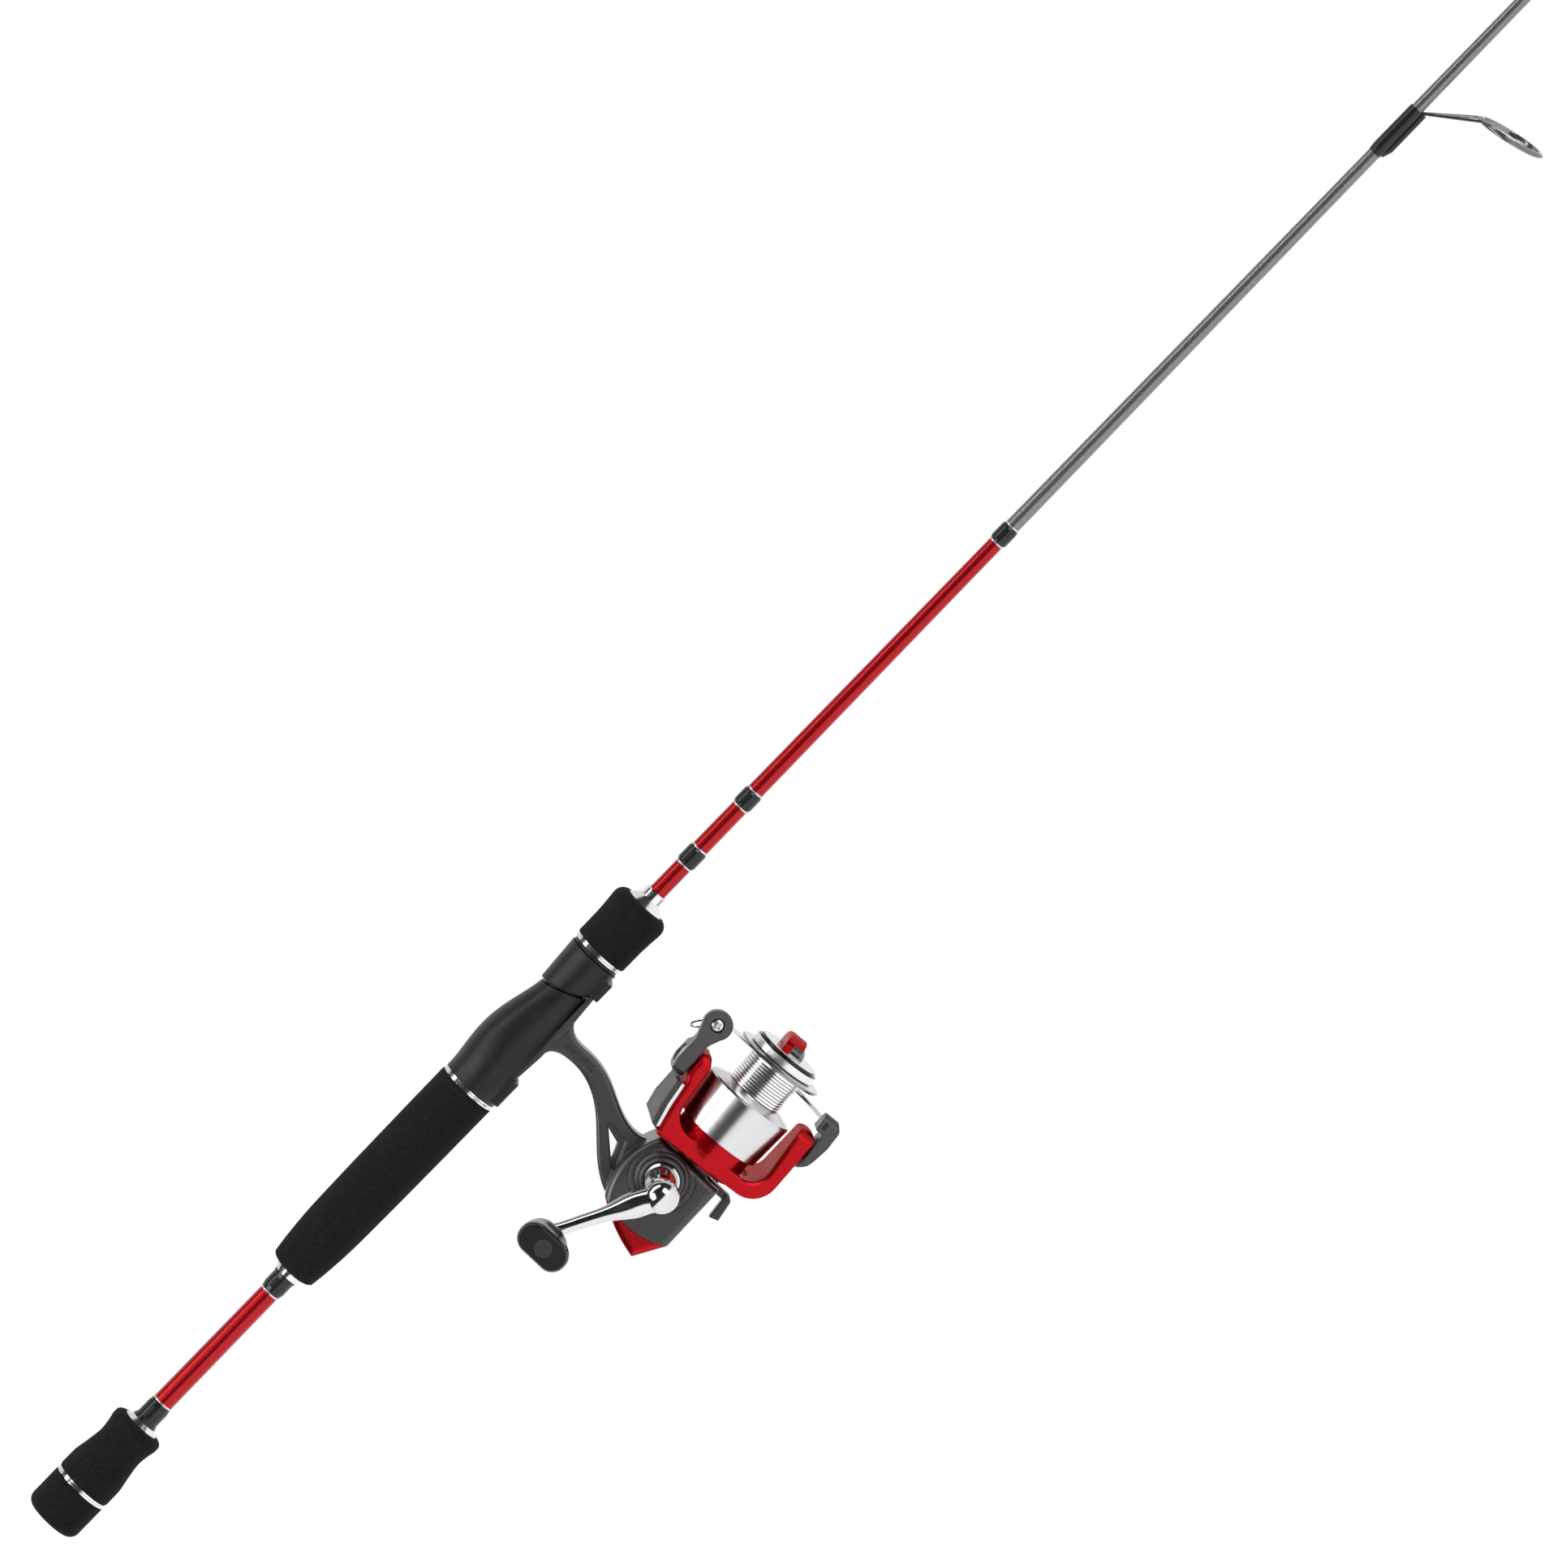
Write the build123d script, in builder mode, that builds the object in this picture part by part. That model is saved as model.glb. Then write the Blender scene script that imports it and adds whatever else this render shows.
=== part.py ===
from build123d import *
import math
import os

# Light spinning rod with an open-faced reel, in millimetres.
# +X runs along the rod from the butt to the tip, +Z is up, the reel hangs below,
# and the origin is the centre of the butt's end face.

os.makedirs("parts", exist_ok=True)

# Driving dimensions of the rod
ROD_LENGTH = 1524.0
BLANK_BUTT_R = 4.6
BLANK_TIP_R = 0.85
BLANK_WALL = 1.1
BLANK_START = 6.0
TIP_TUBE_LENGTH = 12.0
TIP_TUBE_END = 1.0
GLUE_GAP = 0.05
PRESS_GAP = 0.02
RUN_GAP = 0.3
SLIDE_GAP = 0.15

# Butt handle
CAP_R = 12.5
CAP_LENGTH = 18.3
CAP_EDGE_R = 4.2
TRIM_RING_WIDTH = 1.8
TRIM_RING_STEP = 0.25
BUTT_GRIP_END = 54.4
BUTT_GRIP_R = 12.55
BUTT_EDGE = 0.8
BUTT_EDGE_DROP = 0.5
BUTT_STRAIGHT = 8.2
BUTT_EASE = 0.15
BUTT_WAIST_R = 10.5
BUTT_WAIST_AT = 41.5
BUTT_FLARE_R = 11.7
BUTT_FLARE_AT = 51.2
BUTT_NOSE_R = 8.2
BUTT_CHECK_LENGTH = 1.8
BUTT_CHECK_R = 5.9
BUTT_WRAP_END = 66.5
BUTT_WRAP_R = 5.0

# Rear handle
REAR_WRAP_START = 130.5
REAR_WRAP_R = 4.95
REAR_CHECK_START = 139.6
REAR_CHECK_LENGTH = 2.6
REAR_CHECK_SMALL_R = 5.5
REAR_CHECK_LARGE_R = 6.6
REAR_GRIP_NOSE_R = 10.2
REAR_GRIP_TAPER = ((0, 0), (0.08, 0.36), (0.21, 0.7), (0.41, 0.86), (0.7, 0.95), (1, 1))
REAR_GRIP_R = 13.0
REAR_GRIP_END = 246.0

# Reel seat, sliding hood and fore grip
SEAT_START = REAR_GRIP_END + TRIM_RING_WIDTH
SEAT_HUMP_AT = 270.0
SEAT_HUMP_TOP = 14.3
SEAT_END = 302.5
SEAT_END_R = 9.9
SEAT_LANDING_Z = -9.0
SEAT_SLANT = 20.0
REAR_HOOD_END = 262.0
REAR_HOOD_DEPTH = 13.4
BARREL_R = 8.0
BARREL_END = 344.0
HOOD_GAP = 1.6
HOOD_START_R = 9.9
HOOD_END = 320.4
HOOD_END_R = 11.6
HOOD_LIP_START = 308.6
HOOD_LIP_DEPTH = 12.9
NUT_R = 10.4
FORE_GRIP_START = HOOD_END + TRIM_RING_WIDTH + 2.0
FORE_GRIP_END = 350.2
FORE_GRIP_R = 12.2
FORE_FLARE_R = 13.0
FORE_FLARE_AT = 345.4
FORE_NOSE_R = 8.6
FORE_ROLL = 1.3
FORE_GRIP_FLARE = ((0, 0), (0.3, 0.02), (0.55, 0.12), (0.8, 0.55), (1, 1))
FORE_CONE_LENGTH = 3.2
FORE_CONE_R = 5.4
FORE_COLLAR_R = 4.8
FORE_COLLAR_LENGTH = 4.0

# Thread wraps along the blank, each as (start, end)
FORE_WRAPS = ((373.4, 381.6), (406.2, 413.9))
COLOUR_WRAP = (555.4, 563.6)
WRAP_HEIGHT = 0.55
BAND_WIDTH = 0.9
BAND_HEIGHT = 0.35

# Line guides: foot start along the rod, ring radius, ring height below the blank's axis.
# The stripper is set from the butt, the smaller guides from the tip.
STRIPPER = (774.0, 15.4, 35.0)
SMALL_GUIDES = (
    (ROD_LENGTH - 539.0, 8.2, 19.5),
    (ROD_LENGTH - 374.0, 6.2, 14.0),
    (ROD_LENGTH - 234.0, 5.0, 10.8),
    (ROD_LENGTH - 114.0, 4.2, 8.6),
)
GUIDE_FOOT_LENGTH = 25.0
GUIDE_TOE = 5.0
GUIDE_SPREAD = 24.0
GUIDE_LEAN = 12.0
GUIDE_LEG_SLOPE = 51.0
STRIPPER_WIRE_R = 0.65
GUIDE_WIRE_R = 0.45
INSERT_HALF = 0.6
INSERT_WIDTH = 2.4
TIP_TUBE_WALL = 0.45
TIP_RING_R = 4.2

# Reel: the axis of rotor and spool leans up towards the tip
REEL_X = 286.0
REEL_Z = -87.7
AXIS_LEAN = 3.5
ROTOR_TURN = 6.0
CRANK_X = 275.0
CRANK_Z = -80.8

# Foot, stem and housing
FOOT_START = 258.6
FOOT_END = 313.4
FOOT_WIDTH = 13.0
FOOT_THICK = 2.9
FOOT_TIP_THICK = 1.6
STEM_HALF = 5.0
BODY_HALF = 14.0
BODY_WALL = 2.2
BODY_FRONT = 287.0
SIDE_COVER_R = 11.2
SIDE_GROOVE_R = 13.6
SIDE_GROOVE_WIDTH = 0.7
SIDE_GROOVE_DEPTH = 0.4
SIDE_COVER_THICK = 3.2
SIDE_BOSS_R = 8.5

STEM_EDGE_R = 1.6
STEM_REAR = (
    (276, -12.0), (281.6, -14.6), (283.2, -20), (282.6, -30), (278.6, -39), (265, -54), (254.2, -69),
)
STEM_FRONT = (
    (BODY_FRONT, -70.4), (280.8, -64.6), (281.6, -54), (288.6, -39), (291.0, -27), (291.4, -18), (296, -12.2),
)
STEM_GROOVE = ((285.6, -15.5), (287.6, -15.5), (288.4, -31), (285.8, -31))
STEM_CORNER_R = 1.2
RECESS_DEPTH = 1.2
HOUSING_REAR_TOP = (254.2, -69.0)
HOUSING_REAR_MIDDLE = (251.6, -87.0)
HOUSING_REAR_BOTTOM = (256.6, -101.8)
HOUSING_CROWN = (269.5, -64.5)
HOUSING_FLOOR = -101.2
HOUSING_EDGE_R = 3.0
STEM_RECESS = ((277.2, -47.8), (259.8, -67.6), (275.4, -60.8))
STEM_SLOT = ((274.2, -51.8), (265.2, -61.9), (272.2, -58.9))
GEAR_WELL_R = 9.8
BEARING_R = 5.6
CHANNEL_BACK = 31.0
CHANNEL_HALF = 8.0
NECK_R = 8.0
NECK_LENGTH = 8.0
NECK_BEARING_START = 1.5
NECK_BEARING_END = NECK_LENGTH - 0.5
LEVER_X = 284.0
LEVER_Z = -98.0
LEVER_PIN_R = 1.4
LEVER_PIN_LENGTH = 6.0
LEVER_NOTCH_WIDTH = 16.0
LEVER_NOTCH_HEIGHT = 6.4

REAR_COVER_TIP = (243.4, -94.2)
REAR_COVER_BACK = (247.0, -82.0)
REAR_COVER_STEP = 0.4
REAR_COVER_CHAMFER = 2.0
REAR_COVER_HOLLOW = ((251.8, -78), (249.9, -88), (252.6, -97.2), (247.6, -93.4), (249.0, -84))
SIDE_COVER_PROUD = 0.6
SIDE_BOSS_HEIGHT = 2.6
COLLAR_R = 7.4
COLLAR_SINK = 2.0

# Drive train
BEARING_LENGTH = 2.4
DRIVE_SHAFT_R = 3.0
DRIVE_WAIST_R = 2.4
SHAFT_FIT = 0.05
GEAR_FACE = 4.6
GEAR_THICK = 3.5
GEAR_R = 9.4
GEAR_TOOTH_ROOT = 5.8
TOOTH_DEPTH = 1.2
TOOTH_GAP = 0.8
DRIVE_TEETH = 40
PINION_TEETH = 8
PINION_START = -15.0
PINION_TOOTH_END = -4.0
PINION_R = 4.2
PINION_TOOTH_GAP = 0.8
SLEEVE_R = 3.5
SLIDER_START = -25.0
SHAFT_BACK = SLIDER_START - 0.4
SLIDER_LENGTH = 5.5
SLIDER_WIDTH = 8.0
SLIDER_HEIGHT = 12.0

# Rotor, drawn from its own back plane: along the reel's axis, then out from it
ROTOR_BACK = 3.0
ROTOR_BASE_FRONT = 10.6
ROTOR_WEB = 9.0
ROTOR_WEB_THICK = 2.5
ROTOR_NUT_R = 6.0
NUT_THICK = 3.0
CUP_R = 17.0
CUP_LENGTH = 20.0
CUP_WALL = 1.5
SKIRT_ROOM = 0.6
ROTOR_BASE_HALF = 17.2
ROTOR_EDGE_R = 1.2
ARM_HALF = 6.4
ARM_TAPER_S = 22.0
ARM_TAPER_HALF = 12.0
ARM_TIP_R = 8.8
BAIL_PIVOT_S = 33.0
ARM_TIP = BAIL_PIVOT_S + ARM_TIP_R
ARM_INNER_R = 21.6
LOWER_INNER_R = ARM_INNER_R + 2.0
LOWER_OUTER_R = ARM_INNER_R + 9.6
BAIL_PIVOT_R = 2.9
UPPER_BOSS_TOP = ARM_INNER_R + 11.6
LOWER_BOSS_TOP = ARM_INNER_R + 12.0
BOSS_ROOT = ARM_INNER_R + 3.5
# the U of base and arms seen from the handle's side: place, then the radius of that corner
ROTOR_OUTLINE = (
    ((ROTOR_BACK, ARM_INNER_R + 2.6), 2.0),
    ((15.6, ARM_INNER_R + 4.3), 20.0),
    ((26.6, ARM_INNER_R + 5.0), 2.0),
    ((28.6, ARM_INNER_R + 6.4), 2.0),
    ((39.4, ARM_INNER_R + 5.8), 2.0),
    ((40.6, ARM_INNER_R + 3.0), 1.8),
    ((36.0, ARM_INNER_R), 6.0),
    ((ROTOR_BASE_FRONT, ARM_INNER_R - 0.4), 8.0),
    ((ROTOR_BASE_FRONT, -LOWER_INNER_R), 8.0),
    ((ARM_TIP, 0.6 - LOWER_INNER_R), 3.0),
    ((ARM_TIP - 1.0, -LOWER_OUTER_R), 3.6),
    ((ROTOR_BACK + 1.8, 2.6 - LOWER_OUTER_R), 12.0),
)
ARM_TRIM = (
    (6.2, ARM_INNER_R + 3.1),
    (15.6, ARM_INNER_R + 4.36),
    (25.0, ARM_INNER_R + 4.96),
    (25.0, ARM_INNER_R + 6.4),
    (15.2, ARM_INNER_R + 6.0),
    (5.4, ARM_INNER_R + 4.4),
)
ARM_COVER = (
    (4.6, ARM_INNER_R + 2.9),
    (5.38, ARM_INNER_R + 4.42),
    (15.18, ARM_INNER_R + 6.02),
    (24.9, ARM_INNER_R + 6.42),
    (24.6, ARM_INNER_R + 8.4),
    (13.0, ARM_INNER_R + 7.9),
    (5.4, ARM_INNER_R + 6.1),
)
ARM_TRIM_INSET = 0.4
ARM_TRIM_EDGE_R = 0.2
ARM_COVER_INSET = 0.2
ARM_COVER_EDGE_R = 1.2

# Spool and drag
SKIRT_START = 16.2
SKIRT_FRONT = 36.4
SKIRT_REAR_R = 18.8
SKIRT_R = 20.1
SKIRT_WALL = 1.0
ARBOR_R = 12.3
ARBOR_START = 38.4
ARBOR_END = 52.6
ARBOR_RIBS = 11
RIB_DEPTH = 0.45
LIP_R = 19.6
LIP_S = 54.9
DRAG_SEAT_S = 55.6
DRAG_R = 15.2
DRAG_RIM = 3.4
DRAG_NECK_R = 13.6
DRAG_NECK = 1.3
DRAG_TOP_S = 68.2
DRAG_WING_WIDTH = 9.6
DRAG_WELL = 6.6
DRAG_WELL_R = 10.4
DRAG_WASHERS = 3
WING_HALF = 11.0
WING_DROP = 4.0
WING_CHAMFER = 1.6
DIAL_CROWN = 0.52
WING_CAP_FLOOR = 1.2
WING_LIP = 2.0
SPOOL_HUB_R = 5.0
SPOOL_HUB_BACK = 30.0
SHAFT_R = 2.0
SHAFT_FRONT = 60.0

# Bail
ROLLER_S = 51.5
ROLLER_UP = ARM_INNER_R + 9.4
BAIL_DISC_R = 6.3
BAIL_CAP_R = 7.6
BAIL_ARM_LOW = ARM_INNER_R + 6.9
BAIL_ARM_HIGH = ARM_INNER_R + 13.4
PIVOT_SHAKE = 0.3
BAIL_ARM_THICK = 3.2
BAIL_PLATE_NEAR = 5.6
ROLLER_R = 3.6
ROLLER_LENGTH = 4.6
SCREW_R = 1.4
SCREW_HEAD_R = 2.7
SCREW_SINK = 1.4
WIRE_R = 0.95
WIRE_BASE_LENGTH = 3.4
WIRE_BASE_FLOOR = 1.0
WIRE_REACH = 39.5
WIRE_FORWARD_S = 47.0
LEVER_CAP_R = 7.2
LEVER_BOSS_S = 47.2
LEVER_BOSS_R = 3.8
LEVER_TOP = LOWER_OUTER_R + 0.5
LEVER_LOW = LEVER_TOP + 5.2
LEVER_BOSS_TOP = LEVER_TOP - 3.6
PIVOT_HEAD_R = 3.9
PIVOT_HEAD = 1.0

# Crank
CRANK_LENGTH = 50.0
CRANK_RISE = 28.0
CRANK_OUT = 49.0
CRANK_BULB_R = 7.4
CRANK_EYE_R = 4.6
CRANK_EYE_HALF = 3.2
CRANK_SECTIONS = (
    (3.0, 6.6, 6.2), (10.0, 5.6, 5.1), (16.0, 4.8, 4.3),
    (22.0, 3.5, 3.3), (29.0, 3.0, 2.9), (36.0, 2.85, 2.75),
    (43.0, 2.8, 2.65), (CRANK_LENGTH, 2.8, 2.6),
)
COLLAR_STEP = 3.0
SHANK_R = 4.2
KNOB_LENGTH = 27.0
KNOB_SECTIONS = (
    (0.0, 9.4, 9.4, 4.4), (0.16, 14.0, 16.0, 6.6), (0.4, 15.2, 20.0, 7.2), (0.8, 13.6, 23.4, 6.4),
    (0.95, 12.6, 22.4, 6.0), (1.0, 11.2, 20.6, 5.4),
)
KNOB_SHAFT_R = 2.0
KNOB_CAP_R = 3.8
KNOB_CAP_SINK = 1.2
FAR_CAP_R = 6.8
LEVER_HALF = 2.4
LEVER_TAIL_Z = -106.4
LEVER_TAIL_LENGTH = 11.8
LEVER_PLATE_THICK = 3.0

# Frames used by several pieces
rod_side = Plane.XZ
rod_axis = Axis.X
lean = math.radians(AXIS_LEAN)
reel_origin = Vector(REEL_X, 0, REEL_Z)
reel_direction = Vector(math.cos(lean), 0, math.sin(lean))
reel_side = Plane(origin=reel_origin, x_dir=reel_direction, z_dir=(0, -1, 0))
reel_axis = Axis(reel_origin, reel_direction)
rotor_turn = math.radians(ROTOR_TURN)
rotor_near = Vector(0, -math.cos(rotor_turn), 0) - reel_side.y_dir * math.sin(rotor_turn)
rotor_side = Plane(origin=reel_origin, x_dir=reel_direction, z_dir=rotor_near)


def save(piece, name):
    """Label one finished piece and write it as its own file."""
    piece.part.label = name
    export_step(piece.part, f"parts/{name}.step")
    print(name, round(piece.part.volume, 1))


def blank_r(x):
    """Radius of the tapered blank at a place along the rod."""
    return BLANK_BUTT_R + (BLANK_TIP_R - BLANK_BUTT_R) * x / ROD_LENGTH


def turned(points, plane=rod_side, axis=rod_axis):
    """A lathe-turned piece: a closed outline of (along, radius) points spun about its axis."""
    with BuildPart() as piece:
        with BuildSketch(plane):
            with BuildLine():
                Polyline(*points, close=True)
            make_face()
        revolve(axis=axis)
    return piece


def on_blank(start, end, height, ramp):
    """A thread wrap or band on the blank, bored to the taper, with ramped ends."""
    bore_start = blank_r(start) + GLUE_GAP
    bore_end = blank_r(end) + GLUE_GAP
    crest_start = blank_r(start + ramp) + GLUE_GAP + height
    crest_end = blank_r(end - ramp) + GLUE_GAP + height
    return turned([
        (start, bore_start),
        (end, bore_end),
        (end, bore_end + height / 4),
        (end - ramp, crest_end),
        (start + ramp, crest_start),
        (start, bore_start + height / 4),
    ])


# Blank: one tapered tube, hollow until the taper closes on its bore
BORE_END_X = ROD_LENGTH * (BLANK_BUTT_R - BLANK_WALL - BLANK_TIP_R) / (BLANK_BUTT_R - BLANK_TIP_R)
blank = turned([
    (BLANK_START, blank_r(BLANK_START)),
    (ROD_LENGTH, BLANK_TIP_R),
    (ROD_LENGTH, 0),
    (BORE_END_X, 0),
    (BLANK_START, blank_r(BLANK_START) - BLANK_WALL),
])
save(blank, "rod_blank")

# Butt cap: a blind foam cup over the end of the blank, flat at its end with a rolled rim
with BuildPart() as butt_cap:
    with BuildSketch(rod_side):
        with BuildLine():
            Polyline(
                (0, CAP_R - CAP_EDGE_R),
                (0, 0),
                (CAP_LENGTH, 0),
                (CAP_LENGTH, CAP_R),
                (CAP_EDGE_R, CAP_R),
            )
            TangentArc((CAP_EDGE_R, CAP_R), (0, CAP_R - CAP_EDGE_R), tangent=(-1, 0))
        make_face()
    revolve(axis=rod_axis)
    with BuildSketch(Plane.YZ.offset(CAP_LENGTH)):
        Circle(blank_r(BLANK_START) + GLUE_GAP)
    extrude(amount=BLANK_START - CAP_LENGTH, mode=Mode.SUBTRACT)
save(butt_cap, "butt_cap")


def trim_ring(start, radius, bore):
    """A polished metal ring between two handle pieces, its rim turned to a shallow groove."""
    middle = start + TRIM_RING_WIDTH / 2
    end = start + TRIM_RING_WIDTH
    return turned([
        (start, bore),
        (start, radius),
        (middle - TRIM_RING_STEP, radius),
        (middle, radius - TRIM_RING_STEP),
        (middle + TRIM_RING_STEP, radius),
        (end, radius),
        (end, bore),
    ])


def handle_bore(x):
    """Bore of a handle piece glued to the blank."""
    return blank_r(x) + GLUE_GAP


save(trim_ring(CAP_LENGTH, CAP_R - 0.2, handle_bore(CAP_LENGTH)), "butt_trim_ring")

# Butt grip: foam with a waist and a rolled front edge
butt_grip_start = CAP_LENGTH + TRIM_RING_WIDTH
with BuildPart() as butt_grip:
    with BuildSketch(rod_side):
        with BuildLine():
            butt_bore = handle_bore(butt_grip_start)
            straight_start = butt_grip_start + BUTT_EDGE
            Line((butt_grip_start, butt_bore), (butt_grip_start, BUTT_GRIP_R - BUTT_EDGE_DROP))
            Line((butt_grip_start, BUTT_GRIP_R - BUTT_EDGE_DROP), (straight_start, BUTT_GRIP_R))
            Spline(
                (straight_start, BUTT_GRIP_R),
                (straight_start + BUTT_STRAIGHT, BUTT_GRIP_R - BUTT_EASE),
                (BUTT_WAIST_AT, BUTT_WAIST_R),
                (BUTT_FLARE_AT, BUTT_FLARE_R),
                (BUTT_GRIP_END, BUTT_NOSE_R),
                tangents=((1, 0), (0.1, -1)),
            )
            Line((BUTT_GRIP_END, BUTT_NOSE_R), (BUTT_GRIP_END, butt_bore))
            Line((BUTT_GRIP_END, butt_bore), (butt_grip_start, butt_bore))
        make_face()
    revolve(axis=rod_axis)
save(butt_grip, "butt_grip")

butt_check_end = BUTT_GRIP_END + BUTT_CHECK_LENGTH
save(turned([
    (BUTT_GRIP_END, handle_bore(BUTT_GRIP_END)),
    (BUTT_GRIP_END, BUTT_NOSE_R - 0.2),
    (butt_check_end, BUTT_CHECK_R),
    (butt_check_end, handle_bore(BUTT_GRIP_END)),
]), "butt_winding_check")

save(turned([
    (butt_check_end, handle_bore(butt_check_end)),
    (butt_check_end, BUTT_CHECK_R - 0.1),
    (butt_check_end + 2, BUTT_WRAP_R),
    (BUTT_WRAP_END - 2.4, BUTT_WRAP_R),
    (BUTT_WRAP_END, handle_bore(BUTT_WRAP_END) + 0.1),
    (BUTT_WRAP_END, handle_bore(BUTT_WRAP_END)),
]), "butt_wrap")

save(turned([
    (REAR_WRAP_START, handle_bore(REAR_WRAP_START)),
    (REAR_WRAP_START, handle_bore(REAR_WRAP_START) + 0.1),
    (REAR_WRAP_START + 2, REAR_WRAP_R),
    (REAR_CHECK_START - 2, REAR_WRAP_R),
    (REAR_CHECK_START, REAR_CHECK_SMALL_R),
    (REAR_CHECK_START, handle_bore(REAR_CHECK_START)),
]), "rear_wrap")

rear_grip_start = REAR_CHECK_START + REAR_CHECK_LENGTH
save(turned([
    (REAR_CHECK_START, handle_bore(REAR_CHECK_START)),
    (REAR_CHECK_START, REAR_CHECK_SMALL_R),
    (rear_grip_start, REAR_CHECK_LARGE_R),
    (rear_grip_start, handle_bore(REAR_CHECK_START)),
]), "rear_winding_check")

# Rear grip: long foam taper with a steep nose
with BuildPart() as rear_grip:
    with BuildSketch(rod_side):
        with BuildLine():
            nose_end = rear_grip_start + 1.8
            bore = handle_bore(rear_grip_start)
            Line((rear_grip_start, bore), (rear_grip_start, REAR_CHECK_LARGE_R + 0.3))
            Line((rear_grip_start, REAR_CHECK_LARGE_R + 0.3), (nose_end, REAR_GRIP_NOSE_R))
            taper_length = REAR_GRIP_END - nose_end
            taper_rise = REAR_GRIP_R - REAR_GRIP_NOSE_R
            Spline(*[
                (nose_end + along * taper_length, REAR_GRIP_NOSE_R + up * taper_rise)
                for along, up in REAR_GRIP_TAPER
            ])
            Line((REAR_GRIP_END, REAR_GRIP_R), (REAR_GRIP_END, bore))
            Line((REAR_GRIP_END, bore), (rear_grip_start, bore))
        make_face()
    revolve(axis=rod_axis)
save(rear_grip, "rear_grip")
save(trim_ring(REAR_GRIP_END, REAR_GRIP_R - 0.3, handle_bore(REAR_GRIP_END)), "rear_trim_ring")

# Reel seat: moulded body with a thumb hump, a flat landing for the foot and a rear hood
slant = math.tan(math.radians(SEAT_SLANT))
with BuildPart() as seat:
    sections = (
        (SEAT_START, 12.6, 12.6),
        (SEAT_START + 11, 13.5, 13.0),
        (SEAT_HUMP_AT, SEAT_HUMP_TOP, 12.2),
        (SEAT_HUMP_AT + 10, 13.3, 11.6),
        (SEAT_HUMP_AT + 20, 11.0, 11.0),
        (SEAT_END + 6, SEAT_END_R, 10.4),
    )
    for x, top, bottom in sections:
        with BuildSketch(Plane.YZ.offset(x)):
            with Locations((0, (top - bottom) / 2)):
                Circle((top + bottom) / 2)
    loft()
    # flat landing under the blank
    with Locations(((REAR_HOOD_END + HOOD_END) / 2, 0, SEAT_LANDING_Z - 10)):
        Box(HOOD_END - REAR_HOOD_END, 60, 20, mode=Mode.SUBTRACT)
    # slanted front face
    with BuildSketch(rod_side):
        with BuildLine():
            Polyline(
                (SEAT_END - 20 * slant, 20),
                (SEAT_END + 20 * slant, -20),
                (SEAT_END + 60, -20),
                (SEAT_END + 60, 20),
                close=True,
            )
        make_face()
    extrude(amount=40, both=True, mode=Mode.SUBTRACT)
    # rear hood over the foot's heel
    with BuildSketch(Plane.YZ.offset(SEAT_START + 2)):
        with Locations((0, -REAR_HOOD_DEPTH / 2)):
            RectangleRounded(FOOT_WIDTH + 5, REAR_HOOD_DEPTH, 2.5)
    extrude(amount=REAR_HOOD_END - SEAT_START - 2)
    # barrel that carries the sliding hood and the nut
    with BuildSketch(Plane.YZ.offset(SEAT_END - 8)):
        Circle(BARREL_R)
    extrude(amount=BARREL_END - SEAT_END + 8)
    # bore for the blank, and the pocket for the heel of the foot
    with BuildSketch(Plane.YZ.offset(SEAT_START)):
        Circle(handle_bore(SEAT_START))
    extrude(amount=BARREL_END - SEAT_START, mode=Mode.SUBTRACT)
    with BuildSketch(Plane.YZ.offset(REAR_HOOD_END)):
        with Locations((0, SEAT_LANDING_Z - FOOT_THICK / 2 - 0.05)):
            Rectangle(FOOT_WIDTH + 2 * SLIDE_GAP, FOOT_THICK + 0.1)
    extrude(amount=FOOT_START - SLIDE_GAP - REAR_HOOD_END, mode=Mode.SUBTRACT)
save(seat, "reel_seat")

# Sliding hood: a tapered sleeve on the barrel with a lip over the toe of the foot
hood_cut = SEAT_END + HOOD_GAP
with BuildPart() as hood:
    with BuildSketch(Plane.YZ.offset(SEAT_END - 8)):
        Circle(HOOD_START_R)
    with BuildSketch(Plane.YZ.offset(HOOD_END)):
        Circle(HOOD_END_R)
    loft()
    with BuildSketch(Plane.YZ.offset(HOOD_LIP_START)):
        with Locations((0, -HOOD_LIP_DEPTH / 2)):
            RectangleRounded(FOOT_WIDTH + 4, HOOD_LIP_DEPTH, 2.5)
    extrude(amount=HOOD_END - HOOD_LIP_START - 3)
    with BuildSketch(rod_side):
        with BuildLine():
            Polyline(
                (hood_cut - 20 * slant, 20),
                (hood_cut + 20 * slant, -20),
                (hood_cut - 60, -20),
                (hood_cut - 60, 20),
                close=True,
            )
        make_face()
    extrude(amount=40, both=True, mode=Mode.SUBTRACT)
    with BuildSketch(Plane.YZ.offset(HOOD_END)):
        Circle(BARREL_R + SLIDE_GAP)
    extrude(amount=SEAT_END - 10 - HOOD_END, mode=Mode.SUBTRACT)
    # clear the landing, then the pocket for the toe of the foot
    with BuildSketch(Plane.YZ.offset(SEAT_END - 10)):
        with Locations((0, SEAT_LANDING_Z - 10)):
            Rectangle(60, 20)
    extrude(amount=HOOD_LIP_START - SEAT_END + 10, mode=Mode.SUBTRACT)
    with BuildSketch(Plane.YZ.offset(HOOD_LIP_START)):
        with Locations((0, SEAT_LANDING_Z - FOOT_THICK / 2)):
            Rectangle(FOOT_WIDTH + 2 * SLIDE_GAP, FOOT_THICK + SLIDE_GAP)
    extrude(amount=FOOT_END + SLIDE_GAP - HOOD_LIP_START, mode=Mode.SUBTRACT)
save(hood, "sliding_hood")

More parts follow.
